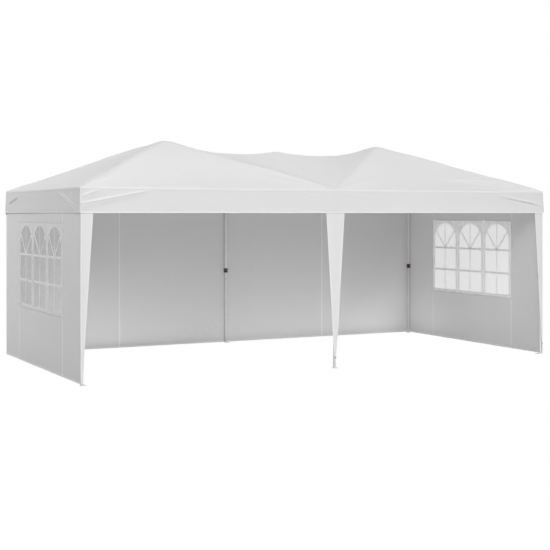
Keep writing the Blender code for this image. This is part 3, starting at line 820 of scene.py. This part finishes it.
def add_end_wall(name, side, seed):
    """Cloth wall with three arched windows, framed with tape over one sheet of clear film."""
    half = END_WALL_HALF
    edges = (-half, -FILM_HALF, FILM_HALF, half)

    def place(u, z, out=0.0):
        front, back = FOOT_RISE[side]
        low = np.clip((FILM_BOTTOM - z) / (FILM_BOTTOM - WALL_BOTTOM), 0, 1)
        rise = low * (front + (back - front) * (u + half) / (2 * half))
        over = (ADJUSTER_BOTTOM + ADJUSTER_TOP) / 2
        pull = FRONT_PULL[side] * np.exp(-(((u + half) / 0.22) ** 2))
        pull = pull * (1 - np.exp(-(((z - over) / PULL_GAP) ** 4)))
        return upright(u, z + rise, WALL_X - pull + out + wall_wave(u, z, seed, edges), side=side)

    us = cells((-half, -PANEL_HALF, PANEL_HALF, half), END_WALL_STEPS)
    zs = cells((WALL_BOTTOM, PANEL_BOTTOM, PANEL_TOP, WALL_TOP), END_WALL_STEPS)
    u, z = np.meshgrid(us, zs)
    middle_u, middle_z = (us[:-1] + us[1:]) / 2, (zs[:-1] + zs[1:]) / 2
    beside = np.abs(middle_u) > PANEL_HALF
    beyond = (middle_z < PANEL_BOTTOM) | (middle_z > PANEL_TOP)
    faces = grid_faces(*u.shape, beside[None, :] | beyond[:, None])
    uv = np.stack([u, z], -1)
    wall = add_surface(f"end_wall_cloth_{name}", place(u, z), uv, WALL, faces)
    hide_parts(f"end_wall_{name}")

    for k in (-1, 0, 1):
        ring = window_ring(k * WINDOW_PITCH)
        points = place(ring[..., 0], ring[..., 1])
        title = f"window_border_{name}_{k + 2}"
        add_surface(title, points, ring, PRINT)

    def strip(tag, start, end, width, material=SEWN, thickness=0.0018, out=0.0):
        path = place(*straight(start, end).T, out)
        printed = material in (TAPE, BAR)
        look = (width, thickness, material, "clear_film" if printed else "wall_cloth")
        add_ribbon(f"{tag}_{name}", path, (side, 0, 0), *look, both=not printed)

    for tag, u in (("seam_front", -FILM_HALF), ("seam_back", FILM_HALF)):
        strip(f"{tag}_low", (u, WALL_BOTTOM + 0.004), (u, FILM_BOTTOM), SEAM_TAPE_WIDTH)
        strip(f"{tag}_middle", (u, FILM_BOTTOM), (u, FILM_TOP), TAPE_WIDTH, TAPE)
        strip(f"{tag}_high", (u, FILM_TOP), (u, WALL_TOP - 0.002), SEAM_TAPE_WIDTH)
    for tag, u in (("front", -WINDOW_PITCH / 2), ("back", WINDOW_PITCH / 2)):
        strip(f"window_tape_{tag}", (u, PANEL_BOTTOM), (u, PANEL_TOP), TAPE_WIDTH, TAPE)
    # The wall hem is in the lighter hem colour, partly a painted highlight
    for tag, reach, z, *look in (
        ("window_tape_top", FILM_HALF, FILM_TOP - 0.006, 0.024, TAPE),
        ("window_tape_bottom", FILM_HALF, FILM_BOTTOM + 0.006, TAPE_WIDTH, TAPE),
        ("sill", FILM_HALF, FILM_BOTTOM + 0.036, 0.014, BAR),
        ("wall_hem", half, WALL_HEM_Z, WALL_HEM_WIDTH, HEM_HIGHLIGHT, WALL_HEM_THICKNESS),
    ):
        strip(tag, (-reach, z), (reach, z), *look)
    # Edges in the lighter hem colour: a painted light stripe beside the legs
    for tag, u in (("front", -half + EDGE_WIDTH / 2), ("back", half - EDGE_WIDTH / 2)):
        strip(f"wall_edge_{tag}", (u, WALL_BOTTOM), (u, WALL_TOP), EDGE_WIDTH, HEM_HIGHLIGHT, EDGE_THICKNESS)
    # Grey tape along the wall top, also a painted shade line under the hem
    strip("grip_tape_painted_shade", (-half, GRIP_SHADE_Z), (half, GRIP_SHADE_Z), GRIP_SHADE_WIDTH, GRIP_TAPE_SHADE, 0.0007, 0.0016)
    spot = (side * (WALL_X + 0.003), half - CLIP_SIDE / 2, GRIP_SHADE_Z - 0.015)
    clip = Builder(f"wall_clip_{name}", Matrix.Translation(spot), PLASTIC)
    corner = Vector((CLIP_SIDE, CLIP_SIDE, CLIP_SIDE)) / 2
    clip.block(-corner, corner, 0.0015)
    clip.finish(ROOT)
    for k in (-1, 0, 1):
        middle, tag = k * WINDOW_PITCH, f"{k + 2}"
        for m, z in enumerate(BAR_LEVELS):
            start, end = (middle - WINDOW_HALF, z), (middle + WINDOW_HALF, z)
            strip(f"window_bar_{m + 1}_{tag}", start, end, BAR_WIDTH, BAR)
        strip(f"muntin_{tag}", (middle, WINDOW_BOTTOM), (middle, WINDOW_TOP), MUNTIN_WIDTH, BAR)
        for m, turn in enumerate((-1, 1)):
            end = (middle + turn * DIAGONAL_REACH, DIAGONAL_TOP)
            strip(f"diagonal_{m + 1}_{tag}", (middle, BAR_LEVELS[1]), end, DIAGONAL_WIDTH, BAR)

    u, z = np.meshgrid(
        cells((-FILM_HALF, FILM_HALF), [0.012]),
        cells((FILM_BOTTOM, FILM_TOP), [0.03]),
    )
    slack = 0.0003 * np.clip(ripple(u, 0.06 * z, 0.15, seed + 5), -2, 2)
    title, uv = f"window_film_sheet_{name}", np.stack([u, z], -1)
    film = add_surface(title, place(u, z, slack - 0.0009), uv, CLEAR)
    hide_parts(f"window_film_{name}")


def add_back_wall(name, side, seed):
    """Plain wall with a seam up its middle, hemmed all round."""
    edges = (side * BACK_INNER, side * BACK_OUTER)

    def place(u, z):
        return upright(u, z, WALL_Y + wall_wave(u, z, seed, edges), row=1)

    us = np.linspace(BACK_INNER, BACK_OUTER, 166) * side
    u, z = np.meshgrid(us, np.linspace(WALL_BOTTOM, WALL_TOP, 100))
    title, uv = f"back_wall_cloth_{name}", np.stack([u, z], -1)
    wall = add_surface(title, place(u, z), uv, WALL)
    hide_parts(f"back_wall_{name}")

    def strip(tag, start, end, width, material, thickness=0.0010):
        u, z = straight(start, end).T
        look = (width, thickness, material, "wall_cloth")
        add_ribbon(f"back_{tag}_{name}", place(side * u, z), (0, 1, 0), *look)

    def upright_strip(tag, u, width, material):
        strip(tag, (u, WALL_BOTTOM), (u, WALL_TOP), width, material)

    upright_strip("seam", BACK_SEAM_X, SEAM_TAPE_WIDTH, SEWN)
    # Lighter hem and outer edge: partly a painted highlight
    start, end = (BACK_INNER, WALL_HEM_Z), (BACK_OUTER, WALL_HEM_Z)
    strip("hem", start, end, WALL_HEM_WIDTH, HEM_HIGHLIGHT, WALL_HEM_THICKNESS)
    upright_strip("edge_inner", BACK_INNER + BACK_EDGE_WIDTH / 2, BACK_EDGE_WIDTH, WALL)
    upright_strip("edge_outer", BACK_OUTER - EDGE_WIDTH / 2, EDGE_WIDTH, HEM_HIGHLIGHT)


# Leg covers


def add_cover(name, seed):
    """Tapered strip of cloth in front of a leg, some with an elastic band at the foot, whose dark grey
    is partly painted shade under the cover.
    """
    levels, *edges = np.array(LEG_COVERS[name]).T
    bottom, top = levels[0], levels[-1]
    zs = np.linspace(bottom, top, 90)
    sides = np.stack([np.interp(zs, levels, edge) for edge in edges], -1)
    widths = sides[:, 1:] - sides[:, :1]
    share = np.linspace(0, 1, 13)[None, :]
    u = sides[:, :1] * (1 - share) + sides[:, 1:] * share
    z = np.broadcast_to(zs[:, None], u.shape)
    curl = 0.0012 * ((2 * share - 1) ** 2) * np.minimum(widths / 0.12, 1)
    out = HALF_WIDTH - 0.0048 + 0.0008 * ripple(u, 0.5 * z, 0.35, seed) - curl
    points = upright(u, z, out, row=-1)
    title, uv = f"leg_cover_cloth_{name}", np.stack([u, z], -1)
    cover = add_surface(title, points, uv, COVER)
    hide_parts(f"leg_cover_front_{name}")

    def strip(tag, path, width, thickness, material=HEM_HIGHLIGHT):
        look = (width, thickness, material, "canopy_cloth")
        add_ribbon(f"cover_{tag}_{name}", path, (0, -1, 0), *look)

    # Lighter hems on the cover: partly a painted highlight
    strip("hem_left", points[:, 0] + [0.004, 0, 0], 0.008, 0.0007)
    strip("hem_right", points[:, -1] + [-0.004, 0, 0], 0.008, 0.0007)
    strip("hem_foot", points[0] + [0, 0, 0.006], 0.012, 0.0009)
    # Grey tape near the cover's top, also a painted shade line under the hem
    level = points[np.searchsorted(zs, GRIP_SHADE_Z - 0.008)]
    strip("grip_tape_painted_shade", level, GRIP_SHADE_WIDTH * 0.8, 0.0013, GRIP_TAPE_SHADE)
    if name in COVERS_WITH_SHADE_BAND:
        # Dark grey band at the foot, partly painted shade under the cover
        strip("elastic_band_shade", points[0] + [0, 0, 0.010], 0.018, 0.0014, BAND_AND_SHADE)


# Frame


def rounded_square(half, radius):
    """Points round a square with rounded corners, as complex numbers."""
    corner = (half - radius) * (1 + 1j) + radius * np.exp(1j * np.linspace(0, math.pi / 2, 5))
    return np.concatenate([corner * turn for turn in (1, 1j, -1, -1j)])


class Builder:
    """Collects rounded blocks, tubes and discs into one mesh, at a place of its own.

    Each shape's index is that of its material.
    """

    def __init__(self, name, place, *materials):
        self.name = name
        self.place = place
        self.mesh = bpy.data.meshes.new(name)
        for material in materials:
            self.mesh.materials.append(material)
        self.bm = bmesh.new()

    def take(self, part, index, turn=Matrix.Identity(4)):
        for face in part.faces:
            face.material_index = index
            face.smooth = True
        part.transform(self.place @ turn)
        helper = bpy.data.meshes.new("helper")
        part.to_mesh(helper)
        part.free()
        self.bm.from_mesh(helper)
        bpy.data.meshes.remove(helper)

    def block(self, corner, opposite, radius=0.002, index=0, turn=Matrix.Identity(4)):
        """Rounded block between two opposite corners."""
        corner, opposite = Vector(corner), Vector(opposite)
        size = [abs(length) for length in opposite - corner]
        at = Matrix.Translation((corner + opposite) / 2) @ Matrix.Diagonal((*size, 1))
        part = bmesh.new()
        bmesh.ops.create_cube(part, size=1, matrix=at)
        edges = part.edges[:]
        bmesh.ops.bevel(part, geom=edges, offset=radius, segments=3, affect="EDGES", profile=0.5)
        self.take(part, index, turn)

    def tube(self, side, bore, bottom, top, index=0):
        """Square tube with rounded corners, open at both ends."""
        edge = 0.0005
        outer, inner = rounded_square(side / 2, 0.0035), rounded_square(bore / 2, 0.0022)
        small = outer * (1 - edge / side)
        outside = ((small, bottom), (outer, bottom + edge), (outer, top - edge), (small, top))
        part = bmesh.new()
        rings = []
        for loop, z in ((inner, bottom), *outside, (inner, top)):
            rings.append([part.verts.new((spot.real, spot.imag, z)) for spot in loop])
        for a, b in zip(rings, rings[1:] + rings[:1]):
            for k in range(len(outer)):
                part.faces.new((a[k - 1], a[k], b[k], b[k - 1]))
        bmesh.ops.recalc_face_normals(part, faces=part.faces)
        self.take(part, index)

    def disc(self, centre, axis, radius, height, index=0, domed=True):
        """Rivet head, pin end or hole, centred on a point and facing along an axis."""
        part = bmesh.new()
        size = {"radius1": radius, "radius2": radius, "depth": height}
        bmesh.ops.create_cone(part, cap_ends=True, segments=20, **size)
        if domed:
            rim = [e for e in part.edges if all(v.co.z > 0 for v in e.verts)]
            rim += [e for e in part.edges if all(v.co.z < 0 for v in e.verts)]
            offset = min(radius, height) * 0.45
            bmesh.ops.bevel(part, geom=rim, offset=offset, segments=3, affect="EDGES")
        turn = Vector(axis).to_track_quat("Z", "Y").to_matrix().to_4x4()
        self.take(part, index, Matrix.Translation(centre) @ turn)

    def bar(self, start, end, index=0, width=BAR_THICKNESS, height=BAR_HEIGHT):
        """Flat tube on edge from one point to another."""
        forward = (end - start).normalized()
        across = UP.cross(forward).normalized()
        turn = Matrix((forward, across, forward.cross(across))).transposed().to_4x4()
        reach = Vector(((end - start).length, width, height)) / 2
        self.block(-reach, reach, 0.0028, index, Matrix.Translation((start + end) / 2) @ turn)

    def finish(self, body, replaced=()):
        self.bm.to_mesh(self.mesh)
        self.bm.free()
        self.mesh.set_sharp_from_angle(angle=math.radians(40))
        obj = add_piece(self.name, self.mesh, body)
        if replaced:
            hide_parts(*replaced)


def leg_place(column, row):
    return Matrix.Translation((column * LEG_X, row * LEG_Y, 0))


def add_upper_leg(name, column, row):
    """Outer tube with its fixed bracket and slider, both with lugs that take the scissor bars."""
    piece = Builder(f"upper_tube_{name}", leg_place(column, row), STEEL, CAP, ZINC)
    piece.tube(UPPER_SIDE, UPPER_BORE, UPPER_BOTTOM, BRACKET_TOP - 0.003)
    half, collar = BRACKET_SIDE / 2, 2 * COLLAR_HALF
    ways = [Vector((x, 0, 0)) for x in ((-column,) if column else (-1, 1))]
    ways.append(Vector((0, -row, 0)))
    for low, high in ((BRACKET_TOP - BRACKET_HEIGHT, BRACKET_TOP), (SLIDER_BOTTOM, SLIDER_TOP)):
        piece.tube(collar, UPPER_SIDE - 0.001, low, high, 1)
        piece.tube(collar + 0.0024, collar - 0.001, low + 0.004, low + 0.010, 1)
        for out in ways:
            across = UP.cross(out)
            thick = across * LUG_THICKNESS / 2
            for lug in (across * -LUG_OFFSET, across * LUG_OFFSET):
                near = out * (COLLAR_HALF - 0.002) + lug - thick + UP * (low + 0.004)
                far = out * (half + 0.016) + lug + thick + UP * (high - 0.004)
                piece.block(near, far, 0.0012, 1)
            pivot = out * (half + 0.006) + UP * (low + high) / 2
            piece.disc(pivot, across, 0.0045, 0.0375, 2)
    piece.block((-0.017, -0.017, BRACKET_TOP - 0.004), (0.017, 0.017, BRACKET_TOP), 0.0015, 1)
    piece.finish(ROOT, [f"upper_leg_{name}"])


def add_lower_leg(name, column, row):
    """Inner tube with its lock holes, on a pressed foot plate with two peg holes. The holes are flat
    black discs: painted shade for their dark insides.
    """
    piece = Builder(f"lower_tube_{name}", leg_place(column, row), STEEL, HOLE_SHADE, ZINC)
    piece.tube(LOWER_SIDE, LOWER_BORE, FOOT_THICKNESS * 0.5, LOWER_TOP)
    face = LOWER_SIDE / 2
    inward = Vector((0, -row, 0))
    # Lock holes and peg holes are black discs of painted shade, not cut through
    for z in LOCK_HOLES:
        piece.disc(inward * face + UP * z, inward, 0.0036, 0.0003, 1, domed=False)
        piece.disc(inward * (face - 0.0001) + UP * z, inward, 0.0044, 0.0002, 2, domed=False)
    reach_x, reach_y = (-1 if column > 0 else 1), -row
    shift = (FOOT_SIDE - LOWER_SIDE) / 2
    middle = Vector((reach_x * shift, reach_y * shift, 0))
    half = Vector((FOOT_SIDE, FOOT_SIDE, 0)) / 2
    piece.block(middle - half, middle + half + UP * FOOT_THICKNESS, 0.0012)
    weld = LOWER_SIDE / 2 + 0.0018
    low, high = FOOT_THICKNESS - 0.001, FOOT_THICKNESS + 0.0028
    piece.block((-weld, -weld, low), (weld, weld, high), 0.0017)
    for a, b in ((0.018, -0.006), (-0.006, 0.018)):
        hole = middle + Vector((reach_x * a, reach_y * b, FOOT_THICKNESS))
        piece.disc(hole, UP, 0.0062, 0.0004, 2, domed=False)
        piece.disc(hole + UP * 0.00015, UP, 0.0050, 0.0004, 1, domed=False)
    piece.finish(f"leg_{name}", [f"lower_leg_{name}"])


def add_adjuster(name, column, row):
    """Moulded housing with a push button on its inner side."""
    piece = Builder(f"adjuster_housing_{name}", leg_place(column, row), PLASTIC, BUTTON, ZINC)
    outer, hole = ADJUSTER_SIDE / 2, UPPER_SIDE / 2 + 0.0003
    low, high = ADJUSTER_BOTTOM, ADJUSTER_TOP
    for out in WAYS:
        across = UP.cross(out)
        near = out * hole - across * outer + UP * low
        piece.block(near, (out + across) * outer + UP * high, (outer - hole) * 0.45)
        for z in (low + 0.006, high - 0.006):
            centre = out * (outer + 0.0003) + UP * z
            size = out * 0.0006 + across * (outer - 0.001) + UP * 0.0016
            piece.block(centre - size, centre + size, 0.0005)
    inner, over = LOWER_SIDE / 2 + 0.0007, hole + 0.001
    for out in WAYS:
        across = UP.cross(out)
        near = out * inner - across * over + UP * (low + 0.0004)
        piece.block(near, (out + across) * over + UP * (UPPER_BOTTOM - 0.0006), 0.0008)
    middle, face, reach = (low + high) / 2, -row * outer, BUTTON_SIDE / 2
    for half, depth, radius, index in ((reach + 0.0025, 0.0016, 0.0007, 0), (reach, 0.006, 0.0025, 1)):
        corner = (half, face - row * depth, middle + half)
        piece.block((-half, face, middle - half), corner, radius, index)
    piece.disc((0, face - row * 0.006, middle), (0, -row, 0), 0.0042, 0.0008, 2)
    piece.finish(ROOT, [f"adjuster_{name}"])


def crossed_pair(piece, start, end, side):
    """Two flat bars that cross side by side, with rivets where they cross and at their ends.

    start and end are plan positions, side is the direction across the bars. A bar's ends
    are plugged.
    """
    offset = BAR_THICKNESS / 2 + 0.0007
    for turn, first, last in ((-1, LOW_PIVOT, HIGH_PIVOT), (1, HIGH_PIVOT, LOW_PIVOT)):
        out = side * turn
        a = start + UP * first + out * offset
        b = end + UP * last + out * offset
        piece.bar(a, b)
        forward = (b - a).normalized()
        for spot, way in ((a, forward), (b, -forward)):
            rivet = spot + way * 0.012 + out * (BAR_THICKNESS / 2 + 0.0004)
            piece.disc(rivet, out, 0.0050, 0.0022, 1)
            tip = spot - way * 0.0004
            piece.bar(tip, tip - way * 0.0014, 2, BAR_THICKNESS * 0.86, BAR_HEIGHT * 0.90)
    middle = (start + end) / 2 + UP * (LOW_PIVOT + HIGH_PIVOT) / 2
    piece.disc(middle, side, 0.0055, 2 * BAR_THICKNESS + 0.0060, 1)


def add_side_truss(name, span, place, extra=None):
    """Two crossed pairs of bars between two legs, meeting on a pin half way."""
    piece = Builder(f"scissor_bars_{name}", place, STEEL, ZINC, CAP)
    outer = span / 2 - BRACKET_SIDE / 2 - 0.003
    for out in WAYS[:2]:
        crossed_pair(piece, out * outer, out * -0.010, WAYS[2])
    for z in (HIGH_PIVOT, LOW_PIVOT):
        piece.disc((0, 0, z), (0, 1, 0), 0.0055, 0.030, 1)
    if extra:
        extra(piece)
    piece.finish(ROOT, [f"truss_{name}"])


def saddle_pole(piece):
    """Short pole under the low peak, on a foot that straddles the bars, with a rounded cap."""
    bottom = HIGH_PIVOT + BAR_HEIGHT / 2 + 0.001
    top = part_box("truss_middle_with_pole")[1].z
    piece.block((-0.016, -0.015, HIGH_PIVOT - 0.008), (0.016, 0.015, bottom + 0.012), 0.003, 2)
    piece.tube(SADDLE_POLE_SIDE, SADDLE_POLE_SIDE - 0.0024, bottom, top - 0.012)
    piece.block((-0.0125, -0.0125, top - 0.016), (0.0125, 0.0125, top - 0.0005), 0.0045, 2)


def add_inner_truss(name, side):
    """Crossed bars from the four sides of a bay to two hubs on the peak pole."""
    node = f"inner_truss_{name}_with_pole"
    place = Matrix.Translation((side * PEAK_X, 0, 0))
    piece = Builder(f"peak_frame_{name}", place, STEEL, ZINC, CAP)
    for out, reach in zip(WAYS, (PEAK_X, PEAK_X, LEG_Y, LEG_Y)):
        crossed_pair(piece, out * (reach - BAR_THICKNESS - 0.004), out * 0.016, UP.cross(out))
    hub, core = HUB_SIDE / 2, PEAK_POLE_SIDE / 2 + 0.004
    for middle in (HIGH_PIVOT, LOW_PIVOT + HUB_HEIGHT / 2 - BAR_HEIGHT / 2):
        low, high = middle - HUB_HEIGHT / 2, middle + HUB_HEIGHT / 2
        piece.block((-core, -core, low), (core, core, high), 0.002, 2)
        for sx, sy in ((1, 1), (1, -1), (-1, 1), (-1, -1)):
            near = (sx * 0.014, sy * 0.014, low + 0.002)
            piece.block(near, (sx * hub, sy * hub, high - 0.002), 0.002, 2)
        for out in WAYS:
            pin = out * 0.022 + UP * middle
            piece.disc(pin, (abs(out.y), abs(out.x), 0), 0.0040, HUB_SIDE + 0.003, 1)
    bottom, top = LOW_PIVOT - BAR_HEIGHT / 2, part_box(node)[1].z - 0.007
    piece.tube(PEAK_POLE_SIDE, PEAK_POLE_SIDE - 0.0026, bottom, top - 0.014)
    piece.block((-0.0155, -0.0155, top - 0.020), (0.0155, 0.0155, top - 0.006), 0.004, 2)
    piece.disc((0, 0, top - 0.006), UP, 0.0125, 0.011, 2)
    piece.finish(ROOT, [node])


def add_frame():
    for row_name, row in ROWS.items():
        for column_name, column in COLUMNS.items():
            leg = (f"{row_name}_{column_name}", column, row)
            add_upper_leg(*leg)
            add_lower_leg(*leg)
            add_adjuster(*leg)
        for side_name, side in SIDES.items():
            place = Matrix.Translation((side * PEAK_X, row * LEG_Y, 0))
            add_side_truss(f"{row_name}_{side_name}", LEG_X, place)
    quarter = Matrix.Rotation(math.pi / 2, 4, "Z")
    for side_name, side in SIDES.items():
        place = Matrix.Translation((side * LEG_X, 0, 0)) @ quarter
        add_side_truss(f"end_{side_name}", 2 * LEG_Y, place)
        add_inner_truss(side_name, side)
    add_side_truss("middle_with_pole", 2 * LEG_Y, quarter, saddle_pole)


# Stage, light and camera


def show_to_camera(tree, shader, bright, output):
    """The camera sees the bright shader, and the light meets the other one."""
    seen = add_node(tree, "ShaderNodeLightPath")
    mixed = add_node(tree, "ShaderNodeMixShader")
    link(tree, (seen, "Is Camera Ray", mixed, 0), (shader, 0, mixed, 1), (bright, 0, mixed, 2))
    link(tree, (mixed, 0, output, "Surface"))


def add_stage():
    """White floor that stays free of shadows, as in a cut-out picture."""
    mesh = bpy.data.meshes.new("floor")
    corners = [(x * 40.0, y * 40.0, 0) for x, y in ((-1, -1), (1, -1), (1, 1), (-1, 1))]
    mesh.from_pydata(corners, [], [(0, 1, 2, 3)])
    material, tree, shader, output = node_tree("floor_look")
    set_values(shader, base_color=(0.50, 0.50, 0.50, 1), roughness=1.0, specular_ior_level=0.0)
    glow = add_node(tree, "ShaderNodeEmission", color=(1, 1, 1, 1), strength=1.0)
    show_to_camera(tree, shader, glow, output)
    mesh.materials.append(material)
    floor = add_object("floor", mesh)
    floor.location.z = -0.0005


# Suns: the way each one lies from the tent, its strength and its width in degrees
SUNS = {
    "front": ((0.1, -1, 0.36), 0.656, 30),
    "front_high": ((0.1, -1, 0.84), 0.625, 30),
    "front_left_low": ((-0.8, -1, 0.22), 0.069, 20),
    "front_left": ((-0.8, -1, 0.58), 0.564, 20),
    "right": ((1, 0.1, 0.3), 0.254, 40),
    "right_high": ((0.7, 0.1, 1), 0.751, 40),
    "back": ((0.05, 1, 0.3), 0.027, 40),
}
# Soft boxes near the tent: place, the point each one faces, side and power
BOXES = {
    "box_left_back": ((-6.5, 4.5, 4.2), (-3.0, 0.6, 1.4), 2.5, 113),
    "box_front_left": ((-5.5, -6.0, 6.5), (-1.5, -0.75, 2.3), 3.0, 109),
    "box_door": ((1.2, -5.0, 0.5), (1.8, 0.8, 0.6), 2.0, 15.5),
    "box_right": ((5.6, 0.0, 1.0), (3.0, 0.0, 1.1), 2.2, 42),
    "box_floor": ((0.9, 0.1, 0.04), (0.9, 0.1, 1.0), 2.6, 5.7),
    "box_floor_left": ((-1.6, 0.3, 0.04), (-1.6, 0.3, 1.0), 2.2, 6.4),
    "box_floor_right": ((2.3, 0.9, 0.04), (2.3, 0.9, 1.0), 1.0, 1.0),
    "box_corner": ((2.4, 0.95, 0.12), (3.0, 1.5, 0.10), 0.5, 0.45),
}
SKY = 0.276


def add_lamp(name, kind, energy, back):
    """A lamp whose light falls away from the direction given."""
    lamp = add_object(name, bpy.data.lights.new(name, kind))
    lamp.data.energy = energy
    lamp.rotation_mode = "QUATERNION"
    lamp.rotation_quaternion = back.to_track_quat("Z", "Y")
    return lamp


def add_light():
    world = bpy.data.worlds.new("studio")
    bpy.context.scene.world = world
    world.use_nodes = True
    tree = world.node_tree
    sky = set_values(tree.nodes["Background"], strength=SKY, color=(1, 1, 1, 1))
    white = add_node(tree, "ShaderNodeBackground", color=(1, 1, 1, 1), strength=1.0)
    show_to_camera(tree, sky, white, tree.nodes["World Output"])
    for name, (way, strength, width) in SUNS.items():
        sun = add_lamp(name, "SUN", strength, Vector(way))
        sun.data.angle = math.radians(width)
    for name, (place, target, side, power) in BOXES.items():
        box = add_lamp(name, "AREA", power, Vector(place) - Vector(target))
        box.data.size = side
        box.location = place
        box.visible_camera = False


def add_camera():
    data = bpy.data.cameras.new("camera")
    data.sensor_width = 36.0
    data.lens = 75.95
    data.shift_x = 0.00044
    data.shift_y = -0.1127
    data.clip_end = 200.0
    camera = add_object("camera", data)
    camera.location = (-6.6257, -12.8842, 1.7624)
    camera.rotation_euler = (math.radians(90), 0, math.radians(-27.19))
    bpy.context.scene.camera = camera
    bpy.context.scene.view_settings.view_transform = "Standard"


add_canopy()
add_valance()
for name, side in SIDES.items():
    add_end_wall(name, side, 40 + side)
    add_back_wall(name, side, 50 + side)
for number, name in enumerate(LEG_COVERS):
    add_cover(name, 61 + number)
add_frame()
add_stage()
add_light()
add_camera()

bpy.context.view_layer.update()
